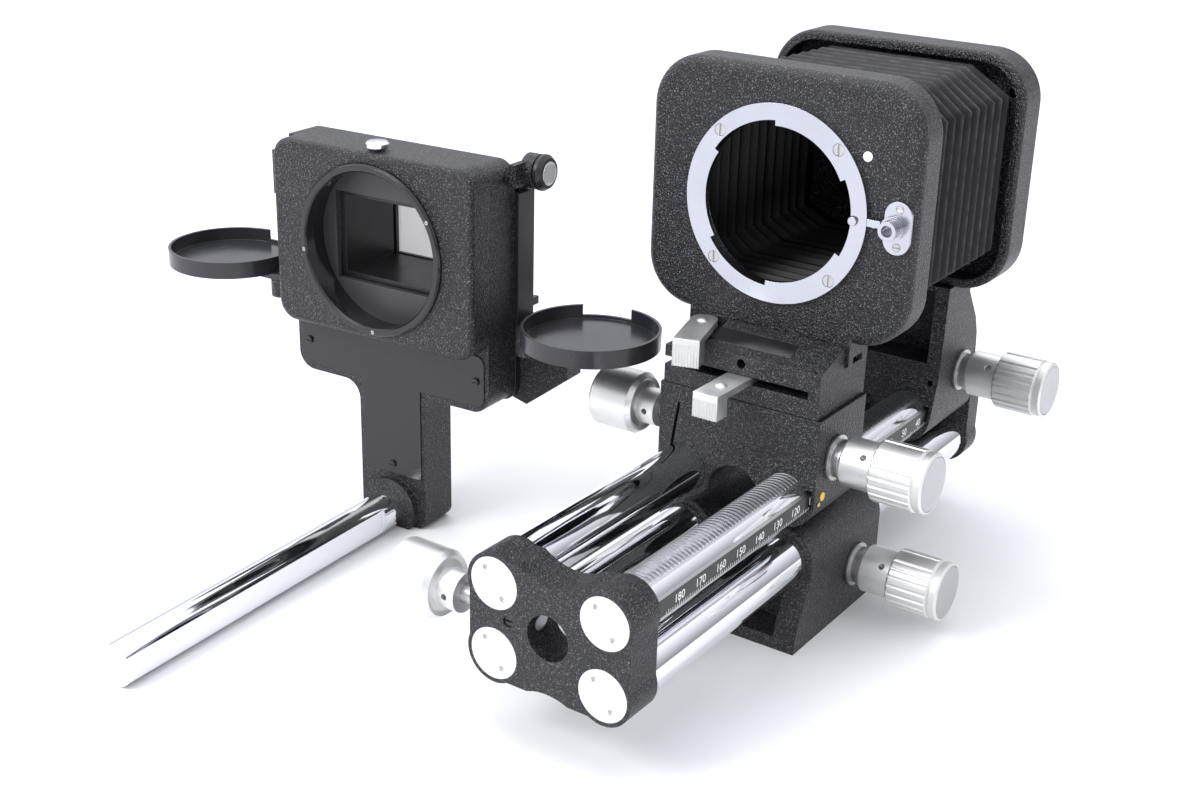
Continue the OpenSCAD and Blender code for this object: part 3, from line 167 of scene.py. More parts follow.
def edge_group():
    """Soft edges and an edge mask: the shading normal is rounded over a radius, and where it leaves the
    true normal the mask rises from 0 to 1."""
    samples, rise = 6, 5.0
    group, ins, outs = new_group(
        "Soft edges", [("Radius", "NodeSocketFloat", 0.3 * MM)],
        [("Normal", "NodeSocketVector"), ("Mask", "NodeSocketFloat")])
    bevel = group.nodes.new("ShaderNodeBevel")
    bevel.samples = samples
    group.links.new(ins.outputs["Radius"], bevel.inputs["Radius"])
    geometry = group.nodes.new("ShaderNodeNewGeometry")
    dot = group.nodes.new("ShaderNodeVectorMath")
    dot.operation = "DOT_PRODUCT"
    group.links.new(bevel.outputs["Normal"], dot.inputs[0])
    group.links.new(geometry.outputs["Normal"], dot.inputs[1])
    away = math_node(group, "SUBTRACT", 1.0, dot.outputs["Value"])
    mask = math_node(group, "MULTIPLY", away, rise, clamp=True)
    group.links.new(bevel.outputs["Normal"], outs.inputs["Normal"])
    group.links.new(mask, outs.inputs["Mask"])
    return group


def crinkle_group():
    """Hammered enamel: warped round cells about half a millimetre across, with fine grain. Its second output
    is a painted highlight, standing in for the specular glints on the cells' domes: high in the middle of
    the cells, and higher on some of them than on others."""
    warp_scale, warp_reach = 900, 0.9 * MM
    grain_scale, grain_share = 1100, 0.5
    glint_shape = [(0.14, 1.0), (0.38, 0.0)]        # over the distance from the cell's middle
    glint_chance = [(0.05, 0.08), (0.85, 1.0)]      # over a number that each cell draws
    group, ins, outs = new_group(
        "Crinkle enamel",
        [("Cell size", "NodeSocketFloat", 0.75 * MM), ("Relief", "NodeSocketFloat", 0.3 * MM),
         ("Normal", "NodeSocketVector", (0, 0, 0))],
        [("Normal", "NodeSocketVector"), ("Painted glint", "NodeSocketFloat")])
    place = place_socket(group)
    shift = group.nodes.new("ShaderNodeVectorMath")
    shift.operation = "MULTIPLY_ADD"
    group.links.new(noise_node(group, place, warp_scale, 1, output="Color"), shift.inputs[0])
    shift.inputs[1].default_value = (warp_reach,) * 3
    group.links.new(place, shift.inputs[2])
    cells = group.nodes.new("ShaderNodeTexVoronoi")
    cells.feature = "F1"
    group.links.new(shift.outputs[0], cells.inputs["Vector"])
    group.links.new(math_node(group, "DIVIDE", 1.0, ins.outputs["Cell size"]), cells.inputs["Scale"])
    grain = noise_node(group, place, grain_scale, 2, 0.6)
    domes = math_node(group, "SUBTRACT", 1.0, cells.outputs["Distance"])
    height = math_node(group, "ADD", domes, math_node(group, "MULTIPLY", grain, grain_share))
    raised = bump_node(group, height, ins.outputs["Relief"], ins.outputs["Normal"])
    group.links.new(raised, outs.inputs["Normal"])
    # Painted highlight: a pale patch in the middle of some cells, for the enamel's specular glints.
    chance = group.nodes.new("ShaderNodeSeparateColor")
    group.links.new(cells.outputs["Color"], chance.inputs[0])
    glint_spot = ramp_node(group, cells.outputs["Distance"], glint_shape)
    glinting_cells = ramp_node(group, chance.outputs[0], glint_chance)
    group.links.new(math_node(group, "MULTIPLY", glint_spot, glinting_cells), outs.inputs["Painted glint"])
    return group


def smudge_group():
    """Slow variation of a polished surface: 0 where it is clean, 1 where it is handled or dusty."""
    wide_scale, fine_scale = 60, 900
    wide_share, fine_share = 0.8, 0.2
    group, _, outs = new_group("Handling marks", [], [("Mask", "NodeSocketFloat")])
    place = place_socket(group)
    wide = noise_node(group, place, wide_scale, 4)
    fine = noise_node(group, place, fine_scale, 2, 0.7)
    both = math_node(group, "ADD", math_node(group, "MULTIPLY", wide, wide_share),
                     math_node(group, "MULTIPLY", fine, fine_share))
    group.links.new(ramp_node(group, both, [(0.4, 0.0), (0.62, 1.0)]), outs.inputs["Mask"])
    return group


GROUPS = {}


def use_group(tree, name):
    """A node that stands for one of the shared effects."""
    node = tree.nodes.new("ShaderNodeGroup")
    node.node_tree = GROUPS[name]
    return node


# Materials

def new_material(name):
    """New material with its node tree and its main shader."""
    material = bpy.data.materials.new(name)
    material.use_nodes = True
    tree = material.node_tree
    return material, tree, tree.nodes["Principled BSDF"]


def lighter(color, gain):
    """A colour raised by a gain and a touch of grey."""
    return tuple(min(1.0, c * gain + 0.01) for c in color)


def handled(tree, shader, rough, more):
    """Roughness that rises by up to more where the surface is handled."""
    marks = use_group(tree, "marks")
    gloss = math_node(tree, "ADD", math_node(tree, "MULTIPLY", marks.outputs["Mask"], more), rough)
    tree.links.new(gloss, shader.inputs["Roughness"])


def enamel_material(name, color, glint_color, relief, cell, rough):
    """Hammered enamel: satin paint over rounded cells, with painted highlights on some of their crests for
    the glints of the enamel, and a little greyer along its edges.
    """
    edge_radius, edge_share = 0.5 * MM, 0.08
    material, tree, shader = new_material(name)
    edges = use_group(tree, "edges")
    edges.inputs["Radius"].default_value = edge_radius
    crinkle = use_group(tree, "crinkle")
    crinkle.inputs["Cell size"].default_value = cell
    crinkle.inputs["Relief"].default_value = relief
    tree.links.new(edges.outputs["Normal"], crinkle.inputs["Normal"])
    # Painted highlight: the glinting crests are drawn in the second, paler colour.
    tint = mix_node(tree, crinkle.outputs["Painted glint"], color, glint_color)
    wear = math_node(tree, "MULTIPLY", edges.outputs["Mask"], edge_share)
    tree.links.new(mix_node(tree, wear, tint, glint_color), shader.inputs["Base Color"])
    tree.links.new(crinkle.outputs["Normal"], shader.inputs["Normal"])
    shader.inputs["Roughness"].default_value = rough
    return material


def paint_material(name, color, rough, grain=0.0):
    """Smooth dark paint or anodising with lighter edges, faint handling marks and a grain of given depth."""
    edge_gain, edge_share, grain_scale = 1.6, 0.4, 1800
    material, tree, shader = new_material(name)
    edges = use_group(tree, "edges")
    wear = math_node(tree, "MULTIPLY", edges.outputs["Mask"], edge_share)
    tree.links.new(mix_node(tree, wear, color, lighter(color, edge_gain)), shader.inputs["Base Color"])
    handled(tree, shader, rough, 0.08)
    normal = edges.outputs["Normal"]
    if grain:
        normal = bump_node(tree, noise_node(tree, place_socket(tree), grain_scale), grain, normal)
    tree.links.new(normal, shader.inputs["Normal"])
    return material


def metal_material(name, color, rough, radius=0.25 * MM):
    """Plated or machined metal with soft edges, a little duller where it is handled."""
    material, tree, shader = new_material(name)
    shader.inputs["Metallic"].default_value = 1.0
    shader.inputs["Base Color"].default_value = (*color, 1.0)
    edges = use_group(tree, "edges")
    edges.inputs["Radius"].default_value = radius
    handled(tree, shader, rough, rough * 0.35)
    tree.links.new(edges.outputs["Normal"], shader.inputs["Normal"])
    return material


def rack_material(name, color):
    """Plated rail, bright on its round and duller on the cut teeth, which lie furthest from the middle
    height of the rails."""
    tooth_band, smooth_rough, tooth_rough_more = 1.5 * MM, 0.05, 0.24
    material, tree, shader = new_material(name)
    shader.inputs["Metallic"].default_value = 1.0
    middle = (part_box("upper_rack_rail")[1].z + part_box("lower_rack_rail")[0].z) / 2
    tooth_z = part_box("upper_rack_rail")[1].z - middle - tooth_band
    height = split_xyz(tree, place_socket(tree))["Z"]
    away = math_node(tree, "ABSOLUTE", math_node(tree, "SUBTRACT", height, middle))
    teeth = math_node(tree, "GREATER_THAN", away, tooth_z)
    duller = tuple(0.8 * c for c in color)
    tree.links.new(mix_node(tree, teeth, color, duller), shader.inputs["Base Color"])
    rough = math_node(tree, "ADD", math_node(tree, "MULTIPLY", teeth, tooth_rough_more), smooth_rough)
    tree.links.new(rough, shader.inputs["Roughness"])
    return material


def bellows_material(name, color, ridge_highlight_color):
    """Thin pleated leatherette with fine pebble grain, and painted highlights: grey lines painted along the
    ridges of the folds, patchy along them, by the V coordinate of its own UV, which is 0 on a ridge and 1 in
    a valley."""
    grain_scale, grain_depth, highlight_patch_scale = 1500, 0.08 * MM, 260
    material, tree, shader = new_material(name)
    place = place_socket(tree)
    grain = noise_node(tree, place, grain_scale, 3, 0.6)
    slow = noise_node(tree, place, highlight_patch_scale, 3, 0.6)
    # Painted highlight: grey along the fold ridges, in patches, for the light that the ridges catch.
    ridge_highlight = ramp_node(tree, split_xyz(tree, place_socket(tree, "UV"))["Y"],
                     [(0.0, 1.0), (0.10, 0.25), (0.2, 0.0)])
    patchy_ridge_highlight = math_node(tree, "MULTIPLY", ridge_highlight, ramp_node(tree, slow, [(0.35, 0.25), (0.65, 1.0)]))
    tree.links.new(mix_node(tree, patchy_ridge_highlight, color, ridge_highlight_color), shader.inputs["Base Color"])
    tree.links.new(bump_node(tree, grain, grain_depth), shader.inputs["Normal"])
    shader.inputs["Roughness"].default_value = 0.46
    shader.inputs["Specular IOR Level"].default_value = 0.35
    return material


def opal_material(name):
    """Opal diffuser: white, softly see-through and faintly mottled, with a painted glow: a little light of
    its own that stands in for light shining through it.
    """
    mottle_scale = 120
    material, tree, shader = new_material(name)
    mottle = noise_node(tree, place_socket(tree), mottle_scale)
    tree.links.new(mix_node(tree, mottle, (0.72, 0.71, 0.74), (0.80, 0.79, 0.81)),
                   shader.inputs["Base Color"])
    shader.inputs["Roughness"].default_value = 0.35
    shader.inputs["Transmission Weight"].default_value = 0.3
    shader.inputs["IOR"].default_value = 1.2
    # Painted glow: the opal gives off a little light, for the light that shines through it.
    shader.inputs["Emission Color"].default_value = (1.0, 1.0, 1.0, 1.0)
    shader.inputs["Emission Strength"].default_value = 0.2
    return material


def ink_material(name, color):
    """Filled engraving: flat ink, a little uneven."""
    patch_scale, patch_gain = 2500, 1.5
    material, tree, shader = new_material(name)
    patchy = noise_node(tree, place_socket(tree), patch_scale, 2, 0.6)
    tree.links.new(mix_node(tree, patchy, color, lighter(color, patch_gain)), shader.inputs["Base Color"])
    shader.inputs["Roughness"].default_value = 0.55
    return material


FINISHES = {}

# Nodes whose finish differs from that of their slot
NODE_FINISH = {
    "lens_mount_ring": "ring_chrome", "release_plate": "ring_chrome", "release_lever": "ring_chrome",
    "upper_rack_rail": "rack_chrome", "lower_rack_rail": "rack_chrome",
}


def build_finishes():
    """One material for each slot of the record, and the two of NODE_FINISH."""
    GROUPS["edges"] = edge_group()
    GROUPS["crinkle"] = crinkle_group()
    GROUPS["marks"] = smudge_group()
    FINISHES.update({
        # The second colour of the enamel is that of its painted glints.
        "crinkle_black": enamel_material(
            "Crinkle enamel black", (0.0045, 0.0045, 0.0055), (0.23, 0.23, 0.28), 0.3 * MM, 0.54 * MM, 0.34),
        "bright_chrome": metal_material("Bright chrome", (0.80, 0.81, 0.84), 0.05),
        "satin_metal": metal_material("Satin metal", (0.80, 0.80, 0.79), 0.38, 0.3 * MM),
        "plain_steel": metal_material("Plain steel", (0.50, 0.50, 0.51), 0.28),
        "gloss_black": paint_material("Gloss black", (0.013, 0.012, 0.014), 0.14),
        "satin_black": paint_material("Satin black", (0.010, 0.010, 0.011), 0.32, grain=0.02 * MM),
        "grey_mask": paint_material("Grey mask", (0.05, 0.05, 0.052), 0.42, grain=0.02 * MM),
        "ring_chrome": metal_material("Machined ring", (0.46, 0.47, 0.52), 0.2, 0.12 * MM),
        "rack_chrome": rack_material("Rack rail", (0.80, 0.81, 0.84)),
        "brass": metal_material("Brass", (0.75, 0.56, 0.26), 0.2),
        "yellow_paint": ink_material("Yellow paint", (0.75, 0.50, 0.04)),
        "white_paint": ink_material("White paint", (0.85, 0.85, 0.83)),
        # The second colour of the bellows is that of its painted ridge highlights.
        "bellows_skin": bellows_material("Bellows leatherette", (0.005, 0.005, 0.0055), (0.08, 0.08, 0.088)),
        "tray_black": paint_material("Tray black", (0.024, 0.024, 0.030), 0.2, grain=0.01 * MM),
        "opal": opal_material("Opal"),
    })


# Mesh helpers

def crisp_edges(obj):
    """Keep smooth shading from running over the object's sharp edges."""
    obj.modifiers.new("Crisp edges", "EDGE_SPLIT").split_angle = CREASE


def mesh_object(name, points, faces, body, slot, smooth=True, crisp=False, uv=None):
    """New piece from points and faces, riding on a body unless that is None; uv gives a pair for each
    point."""
    mesh = bpy.data.meshes.new(name)
    mesh.from_pydata(np.asarray(points, float).tolist(), [], faces)
    mesh.validate()
    mesh.polygons.foreach_set("use_smooth", np.full(len(mesh.polygons), smooth))
    mesh.materials.append(FINISHES[slot])
    if uv is not None:
        corner_point = np.empty(len(mesh.loops), int)
        mesh.loops.foreach_get("vertex_index", corner_point)
        mesh.uv_layers.new(name="UVMap").data.foreach_set("uv", np.asarray(uv)[corner_point].ravel())
    mesh.update()
    obj = bpy.data.objects.new(name, mesh)
    bpy.context.collection.objects.link(obj)
    if crisp:
        crisp_edges(obj)
    if body is not None:
        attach(obj, body)
    return obj


def boxes_mesh(centres, sizes):
    """Points and faces of many axis-aligned boxes given as arrays of centres and sizes."""
    signs = np.array([[x, y, z] for x in (-1, 1) for y in (-1, 1) for z in (-1, 1)], float) / 2
    points = centres[:, None, :] + signs[None] * sizes[:, None, :]
    quads = np.array([[0, 1, 3, 2], [4, 6, 7, 5], [0, 4, 5, 1], [2, 3, 7, 6], [0, 2, 6, 4], [1, 5, 7, 3]])
    faces = quads[None] + 8 * np.arange(len(centres))[:, None, None]
    return points.reshape(-1, 3), faces.reshape(-1, 4).tolist()


def tube_quads(rows, around):
    """Faces between neighbouring closed rows of points, each row with the same number around."""
    i, k = (v.ravel() for v in np.meshgrid(np.arange(rows - 1), np.arange(around), indexing="ij"))
    after = (k + 1) % around
    return np.stack([i * around + k, i * around + after, (i + 1) * around + after, (i + 1) * around + k], 1)


def lathe(name, profile, place, axis, body, slot, segments=96):
    """Turned piece: each (radius, distance) of the profile is carried round the axis through place; a
    radius of 0 at either end closes the piece with a fan."""
    axis = np.array(axis, float) / np.linalg.norm(axis)
    side = np.cross(axis, (0.0, 0.0, 1.0) if abs(axis[2]) < 0.9 else (1.0, 0.0, 0.0))
    side /= np.linalg.norm(side)
    other = np.cross(axis, side)
    turn = np.linspace(0, 2 * math.pi, segments, endpoint=False)
    rim = np.cos(turn)[:, None] * side + np.sin(turn)[:, None] * other
    r, along = np.array(profile, float).T
    ringed = r > 0
    rings = (r[ringed, None, None] * rim[None] + along[ringed, None, None] * axis).reshape(-1, 3)
    poles = along[~ringed, None] * axis
    points = np.array(place, float) + np.concatenate([rings, poles])
    rows = int(ringed.sum())
    faces = tube_quads(rows, segments).tolist()
    k = np.arange(segments)
    after = (k + 1) % segments
    pole = np.full(segments, rows * segments)
    if not ringed[0]:
        faces += np.stack([pole, after, k], 1).tolist()
        pole = pole + 1
    if not ringed[-1]:
        last = (rows - 1) * segments
        faces += np.stack([last + k, last + after, pole], 1).tolist()
    return mesh_object(name, points, faces, body, slot, crisp=True)


def end_of(node, place, axis):
    """How far a node reaches along an axis from place, and the radius of its flat end."""
    flat_depth = 0.02 * MM
    obj = frame["nodes"][node]
    points = np.empty(3 * len(obj.data.vertices))
    obj.data.vertices.foreach_get("co", points)
    world = np.array(obj.matrix_world)
    points = points.reshape(-1, 3) @ world[:3, :3].T + world[:3, 3] - place
    along = points @ axis
    reach = along.max()
    flat = points[along > reach - flat_depth]
    return reach, np.linalg.norm(flat - np.outer(flat @ axis, axis), axis=1).max()


def joint(name):
    """Place and axis of a joint of the record."""
    entry = next(j for j in frame["record"]["behaviour"]["joints"] if j["name"] == name)
    return np.array(entry["pos_m"]), np.array(entry["axis"], float)


def facing(right, up, back, place):
    """Matrix of a light or camera at place whose axes are right, up and back."""
    return Matrix([(right[i], up[i], back[i], place[i]) for i in range(3)] + [(0, 0, 0, 1)])


# Settings

class PartSettings(bpy.types.PropertyGroup):
    """Sizes and counts of the looks."""
    half_width: bpy.props.FloatProperty(name="Bellows half width", default=36 * MM)
    half_height: bpy.props.FloatProperty(name="Bellows half height", default=31.5 * MM)
    corner_width: bpy.props.FloatProperty(name="Cut corner width", default=8 * MM)
    corner_height: bpy.props.FloatProperty(name="Cut corner height", default=8 * MM)
    corner_spread: bpy.props.FloatProperty(name="Growth of the cut corner to the back", default=5 * MM)
    depth: bpy.props.FloatProperty(name="Pleat depth", default=5.5 * MM)
    pleats: bpy.props.IntProperty(name="Pleats", default=13)
    collar: bpy.props.FloatProperty(name="Straight end at the back", default=4 * MM)
    tick: bpy.props.FloatProperty(name="Scale tick width", default=0.16 * MM)
    digit: bpy.props.FloatProperty(name="Scale digit height", default=3.3 * MM)


class StageSettings(bpy.types.PropertyGroup):
    """Camera of the photograph."""
    focal_mm: bpy.props.FloatProperty(name="Focal length in mm", default=49.34)
    azimuth: bpy.props.FloatProperty(name="Azimuth in degrees", default=34.17)
    elevation: bpy.props.FloatProperty(name="Elevation in degrees", default=22.12)
    roll: bpy.props.FloatProperty(name="Roll in degrees", default=1.55)
    camera_at: bpy.props.FloatVectorProperty(
        name="Camera place", size=3, default=(0.20929, -0.39792, 0.24456))


# Finishes

class DUP_OT_finishes(bpy.types.Operator):
    """Give every CAD piece the finish of its slot, and smooth its curved faces"""
    bl_idname = "duplicator.finishes"
    bl_label = "Finishes"

    def execute(self, context):
        build_finishes()
        slots = {s["node"]: s["material_slot"] for s in frame["record"]["subparts"]}
        for node, obj in frame["nodes"].items():
            obj.data.materials.clear()
            obj.data.materials.append(FINISHES[NODE_FINISH.get(node, slots[node])])
            obj.data.polygons.foreach_set("use_smooth", np.ones(len(obj.data.polygons), bool))
            crisp_edges(obj)
        return {"FINISHED"}


# Bellows

PIECE_FOLDS = 1.5       # length of one piece of skin, in folds
RING_POINTS = 6         # points on each side of a ring's octagon
FOLD_STEPS = 12         # rings to a fold
CORNER_CUT = 0.58       # how much of the pleat depth comes off the corner's width, so that it stays cut
SKIN = 0.5 * MM

# The bodies that each length of the bellows runs between, and the fold it ends at (None: the back)
SECTIONS = [("lens_board", "lens_board", 3.5), ("lens_board", "swing_stage", 5.5),
            ("swing_stage", "front_carriage", 12.0), ("front_carriage", "rail_frame", 20.0),
            ("rail_frame", "rear_standard", None)]


def bellows_ring(settings, u, inset):
    """Closed rings in X and Z about the centre, one for each fold position u. Each is an octagon of four
    long sides and four cut corners, drawn in by inset, with corners that grow wider to the back."""
    inset = inset[:, None]
    w = settings.half_width - inset
    h = settings.half_height - inset
    grow = settings.corner_spread * u[:, None] / (2 * settings.pleats)
    c = settings.corner_width + grow - CORNER_CUT * inset
    d = settings.corner_height - CORNER_CUT * inset
    corners = [(w, -h + d), (w, h - d), (w - c, h), (-w + c, h),
               (-w, h - d), (-w, -h + d), (-w + c, -h), (w - c, -h)]
    t = np.linspace(0, 1, RING_POINTS, endpoint=False)[None]
    xs, zs = [], []
    for (x0, z0), (x1, z1) in zip(corners, corners[1:] + corners[:1]):
        xs.append(x0 + (x1 - x0) * t)
        zs.append(z0 + (z1 - z0) * t)
    return np.concatenate(xs, 1), np.concatenate(zs, 1)


def fold_phase(u):
    """0 on a ridge and 1 in a valley, for u folds from the front: ridges stand at the odd numbers."""
    return np.abs(np.mod(u, 2.0) - 1.0)


def pleat_depth(settings, u, phase):
    """How far the skin is drawn in: nearly straight flanks with softened folds, shallow at the front end."""
    front_share, straight, soft = 0.3, 0.8, 0.2
    shape = straight * phase + soft * (0.5 - 0.5 * np.cos(math.pi * phase))
    return settings.depth * np.where(u < 1, front_share, 1.0) * shape


class DUP_OT_bellows(bpy.types.Operator):
    """Pleated bellows in pieces between the standards; a piece within one body rides on it, and the others
    are left where they are
    """
    bl_idname = "duplicator.bellows"
    bl_label = "Bellows"

    def execute(self, context):
        settings = context.scene.duplicator_part
        low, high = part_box("bellows")
        folds = 2 * settings.pleats
        front, back = low.y, high.y
        centre_z = (low.z + high.z) / 2
        step = (back - settings.collar - front) / folds
        last = folds + settings.collar / step
        number = 0
        begin = 0.0
        for a, b, end in SECTIONS:
            end = last if end is None else end
            count = max(1, int(round((end - begin) / PIECE_FOLDS)))
            cuts = np.linspace(begin, end, count + 1)
            for u0, u1 in zip(cuts[:-1], cuts[1:]):
                number += 1
                self.piece(settings, number, a, b, u0, u1, (begin, end), front, step, centre_z)
            begin = end
        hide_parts("bellows")
        return {"FINISHED"}

    def piece(self, settings, number, a, b, u0, u1, span, front, step, centre_z):
        """One length of skin, outer and inner face, from fold u0 to u1 of the section over span; span is not
        used.
        """
        folds = 2 * settings.pleats
        u = np.unique(np.concatenate([np.linspace(u0, u1, max(5, int((u1 - u0) * FOLD_STEPS))),
                                      [v for v in range(folds + 1) if u0 < v < u1]]))
        phase = np.where(u > folds, 1.0, fold_phase(u))
        depth = pleat_depth(settings, u, phase)
        sheets = []
        for thickness in (0.0, SKIN):
            x, z = bellows_ring(settings, np.minimum(u, folds), depth + thickness)
            y = np.repeat((front + u * step)[:, None], x.shape[1], 1)
            sheets.append(np.stack([x, y, z + centre_z], -1))
        around = sheets[0].shape[1]
        outer = tube_quads(len(u), around)
        inner = outer[:, ::-1] + len(u) * around
        points = np.concatenate([s.reshape(-1, 3) for s in sheets])
        # V runs from 0 on a ridge to 1 in a valley, and places the painted ridge highlights of the skin.
        across, along = np.meshgrid(np.arange(around) / around, phase)
        uv = np.tile(np.stack([across.ravel(), along.ravel()], 1), (2, 1))
        obj = mesh_object("bellows_pleat_%02d" % number, points, np.concatenate([outer, inner]).tolist(),
                          None, "bellows_skin", uv=uv)
        if a == b:
            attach(obj, a)
            return
        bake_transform(obj)


# Scale

ZERO_FROM_PLATE = 201.67 * MM       # from the front end plate's face back to the scale's zero
STRIP_MARGIN = 0.15 * MM            # margin of the bar above and below the black strip
INK = 0.04 * MM                     # thickness of strip and ticks, half of it sunk in
FIRST_NUMBER = 20                   # lowest number on the scale, in millimetres


class DUP_OT_scale(bpy.types.Operator):
    """Ticks and plain numbers filled in on the scale bar"""
    bl_idname = "duplicator.scale"
    bl_label = "Scale"

    def execute(self, context):
        settings = context.scene.duplicator_part
        low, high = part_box("scale_bar")
        face_x = high.x
        plate_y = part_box("front_end_plate")[0].y
        readings = np.arange(10, 187)
        y = plate_y + ZERO_FROM_PLATE - readings * MM
        keep = (y > low.y + 0.5 * MM) & (y < high.y - 0.5 * MM)
        readings, y = readings[keep], y[keep]
        strip_z0, strip_z1 = low.z + STRIP_MARGIN, high.z - STRIP_MARGIN
        strip = boxes_mesh(np.array([[face_x, (low.y + high.y) / 2, (strip_z0 + strip_z1) / 2]]),
                           np.array([[INK, high.y - low.y, strip_z1 - strip_z0]]))
        mesh_object("scale_strip", *strip, "rail_frame", "satin_black", smooth=False)
        length = np.where(readings % 10 == 0, 1.3, np.where(readings % 5 == 0, 1.0, 0.7)) * MM
        centres = np.stack([np.full(len(y), face_x + INK / 2), y, strip_z0 + length / 2], 1)
        sizes = np.stack([np.full(len(y), INK), np.full(len(y), settings.tick), length], 1)
        mesh_object("scale_ticks", *boxes_mesh(centres, sizes), "rail_frame", "white_paint", smooth=False)
        for value, at in zip(readings, y):
            if value % 10 == 0 and value >= FIRST_NUMBER:
                self.number(context, value, settings.digit, (face_x, at, strip_z0))
        return {"FINISHED"}

    def number(self, context, value, size, foot):
        """One number as a mesh, its middle over the tick that stands on foot."""
        lift, out = 1.4 * MM, 0.025 * MM
        name = "scale_number_%d" % value
        text = bpy.data.curves.new(name, "FONT")
        text.body = str(value)
        text.size = size
        text.align_x = "CENTER"
        text.extrude = 0.02 * MM
        text.materials.append(FINISHES["white_paint"])
        flat = bpy.data.objects.new(name, text)
        context.collection.objects.link(flat)
        turn = Matrix(((0, 0, 1, foot[0] + out), (1, 0, 0, foot[1]),
                       (0, 1, 0, foot[2] + lift), (0, 0, 0, 1)))
        flat.matrix_world = turn
        context.view_layer.update()
        mesh = bpy.data.meshes.new_from_object(flat.evaluated_get(context.evaluated_depsgraph_get()))
        mesh.transform(turn)
        bpy.data.objects.remove(flat)
        number = bpy.data.objects.new(name, mesh)
        context.collection.objects.link(number)
        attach(number, "rail_frame")


# Turned trim

GAP = 0.05 * MM     # between a neck and the carriage or knob at its ends

# Each drive and the node that its neck stands out of
DRIVES = [("front_drive", "front_carriage"), ("rear_drive", "rear_carriage"),
          ("block_drive", "tripod_block")]

# Neck of a drive knob: radius in mm, and distance as a share of the neck's length
NECK = [(3.6, 0), (6.6, 0), (6.7, 0.04), (6.7, 0.22), (5.6, 0.26), (5.6, 0.74), (6.2, 0.8), (6.2, 1),
        (3.6, 1)]

# End disc of a drive knob: its edge and its face from the rim and the end of the knob
DISC_INSET, DISC_BEVEL, DISC_SUNK, DISC_PROUD = 0.5 * MM, 0.05 * MM, 0.1 * MM, 0.03 * MM

# End of the stage's lock knob: radius and distance from the knob's own end, in mm
LOCK_FACE = [(3.6, -0.2), (3.6, 0.2), (3.3, 0.35), (3.0, 0.1), (0, 0.1)]


class DUP_OT_turned(bpy.types.Operator):
    """Necks and end discs of the drive knobs, and the bright end of the stage's lock knob"""
    bl_idname = "duplicator.turned"
    bl_label = "Turned trim"

    def execute(self, context):
        for body, host in DRIVES:
            place, axis = joint(body + "_turn")
            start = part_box(host)[1].x + GAP - place[0]
            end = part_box(body + "_knob")[0].x - GAP - place[0]
            r, share = np.array(NECK).T
            neck = np.stack([r * MM, start + share * (end - start)], 1)
            lathe(body + "_neck", neck, place, axis, body, "plain_steel")
            reach, radius = end_of(body + "_knob", place, axis)
            edge, face = radius - DISC_INSET, reach + DISC_PROUD
            disc = [(edge, reach - DISC_SUNK), (edge - DISC_BEVEL, face), (0, face)]
            # The end disc is a real recessed turned disc; its darker plain steel is also painted shade, for
            # the dimmer surroundings that its face reflects.
            lathe(body + "_disc", disc, place, axis, body, "plain_steel")
        place, axis = joint("stage_lock_turn")
        reach, _ = end_of("stage_lock_knob", place, axis)
        face = np.array(LOCK_FACE) * MM
        lathe("stage_lock_face", face + [0, reach], place, axis, "stage_lock", "satin_metal")
        return {"FINISHED"}


# Stage

FLOOR_REACH = 6.0
LIGHTS_AIM = (-0.02, 0.0, 0.06)

# Name, place, width and height, and power in watts of each light
LIGHTS = [("key_light", (-0.45, -0.85, 0.85), (0.45, 0.35), 6),
          ("top_light", (-0.15, -0.05, 1.2), (1.3, 1.0), 4.5),
          ("fill_light", (0.8, -0.35, 0.45), (0.5, 0.5), 0.7)]


def area_light(name, place, size, power):
    """Rectangular light at place that faces the part."""
    light = bpy.data.lights.new(name, "AREA")
    light.shape = "RECTANGLE"
    light.size, light.size_y = size
    light.energy = power
    obj = bpy.data.objects.new(name, light)
    bpy.context.collection.objects.link(obj)
    back = np.array(place, float) - np.array(LIGHTS_AIM, float)
    back /= np.linalg.norm(back)
    right = np.cross((0, 0, 1), back)
    right = right / np.linalg.norm(right)
    obj.matrix_world = facing(right, np.cross(back, right), back, place)


def build_floor():
    """Pale matt floor, which is part of the stage and not of the object."""
    mesh = bpy.data.meshes.new("floor")
    far = FLOOR_REACH
    mesh.from_pydata([(-far, -far, 0), (far, -far, 0), (far, far, 0), (-far, far, 0)], [], [(0, 1, 2, 3)])
    floor = bpy.data.objects.new("floor", mesh)
    bpy.context.collection.objects.link(floor)
    material, _, shader = new_material("Floor")
    shader.inputs["Base Color"].default_value = (0.86, 0.86, 0.87, 1)
    shader.inputs["Roughness"].default_value = 0.6
    mesh.materials.append(material)


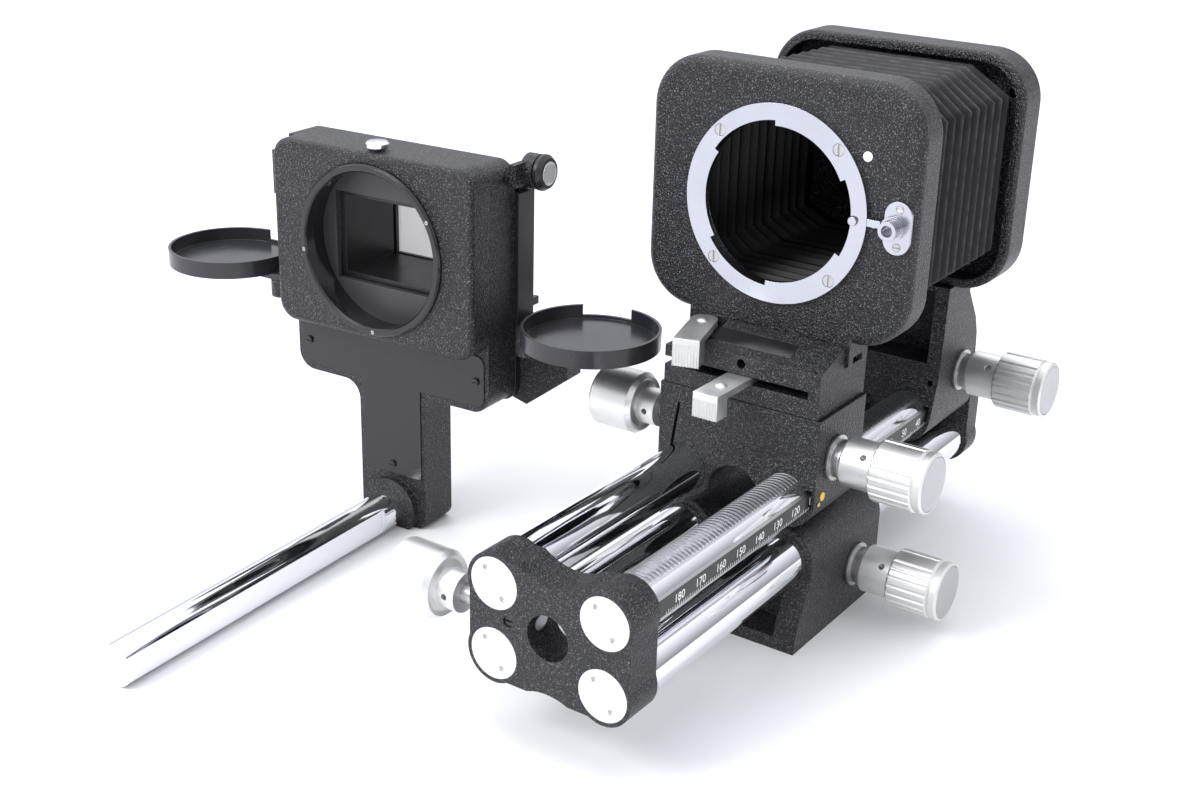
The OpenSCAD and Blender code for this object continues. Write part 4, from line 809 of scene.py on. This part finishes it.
def build_world(scene):
    """Cool surroundings, brighter above and to the left. The camera itself sees an even pale backdrop."""
    strength = 2.0
    by_height = [(0.0, 0.3), (0.2, 0.5), (0.6, 1.0)]
    by_side = [(0.0, 1.0), (1.0, 0.5)]
    world = bpy.data.worlds.new("Studio")
    world.use_nodes = True
    tree = world.node_tree
    nodes, links = tree.nodes, tree.links
    background = nodes["Background"]
    background.inputs["Color"].default_value = (0.93, 0.94, 1.0, 1)
    seen = nodes.new("ShaderNodeBackground")
    seen.inputs["Color"].default_value = (0.985, 0.98, 0.99, 1)
    seen.inputs["Strength"].default_value = 1.0
    toward = split_xyz(tree, place_socket(tree, "Generated"))
    high = ramp_node(tree, toward["Z"], by_height)
    across = math_node(tree, "MULTIPLY", math_node(tree, "ADD", toward["X"], 1.0), 0.5)
    both = math_node(tree, "MULTIPLY", high, ramp_node(tree, across, by_side))
    links.new(math_node(tree, "MULTIPLY", both, strength), background.inputs["Strength"])
    path = nodes.new("ShaderNodeLightPath")
    blend = nodes.new("ShaderNodeMixShader")
    links.new(path.outputs["Is Camera Ray"], blend.inputs[0])
    links.new(background.outputs[0], blend.inputs[1])
    links.new(seen.outputs[0], blend.inputs[2])
    links.new(blend.outputs[0], nodes["World Output"].inputs["Surface"])
    scene.world = world


def build_camera(scene, settings):
    """Camera of the photograph: azimuth round Z from the front, elevation, then roll."""
    az, el, roll = (math.radians(v) for v in (settings.azimuth, settings.elevation, settings.roll))
    back = np.array((math.sin(az) * math.cos(el), -math.cos(az) * math.cos(el), math.sin(el)))
    level = np.array((math.cos(az), math.sin(az), 0.0))
    upright = np.cross(back, level)
    right = math.cos(roll) * level + math.sin(roll) * upright
    up = -math.sin(roll) * level + math.cos(roll) * upright
    data = bpy.data.cameras.new("camera")
    data.sensor_width = 36
    data.lens = settings.focal_mm
    data.clip_start = 0.02
    camera = bpy.data.objects.new("camera", data)
    bpy.context.collection.objects.link(camera)
    camera.matrix_world = facing(right, up, back, settings.camera_at)
    scene.camera = camera


class DUP_OT_stage(bpy.types.Operator):
    """Pale floor, soft lights and the camera of the photograph"""
    bl_idname = "duplicator.stage"
    bl_label = "Stage"

    def execute(self, context):
        scene = context.scene
        scene.view_settings.view_transform = "Standard"
        build_floor()
        build_world(scene)
        for light in LIGHTS:
            area_light(*light)
        build_camera(scene, scene.duplicator_stage)
        return {"FINISHED"}


# Add-on

class DUP_PT_panel(bpy.types.Panel):
    """Buttons for every step"""
    bl_idname = "DUP_PT_panel"
    bl_label = "Slide duplicator"
    bl_space_type = "VIEW_3D"
    bl_region_type = "UI"
    bl_category = "Duplicator"

    def draw(self, context):
        column = self.layout.column()
        for step in STEPS:
            column.operator("duplicator." + step)


STEPS = ["finishes", "bellows", "scale", "turned", "stage"]
CLASSES = [PartSettings, StageSettings, DUP_OT_finishes, DUP_OT_bellows, DUP_OT_scale, DUP_OT_turned,
           DUP_OT_stage, DUP_PT_panel]


def register():
    for cls in CLASSES:
        bpy.utils.register_class(cls)
    bpy.types.Scene.duplicator_part = bpy.props.PointerProperty(type=PartSettings)
    bpy.types.Scene.duplicator_stage = bpy.props.PointerProperty(type=StageSettings)


def unregister():
    del bpy.types.Scene.duplicator_stage
    del bpy.types.Scene.duplicator_part
    for cls in reversed(CLASSES):
        bpy.utils.unregister_class(cls)


def main():
    """Run every step."""
    register()
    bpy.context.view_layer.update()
    for step in STEPS:
        getattr(bpy.ops.duplicator, step)()


if __name__ == "__main__":
    main()
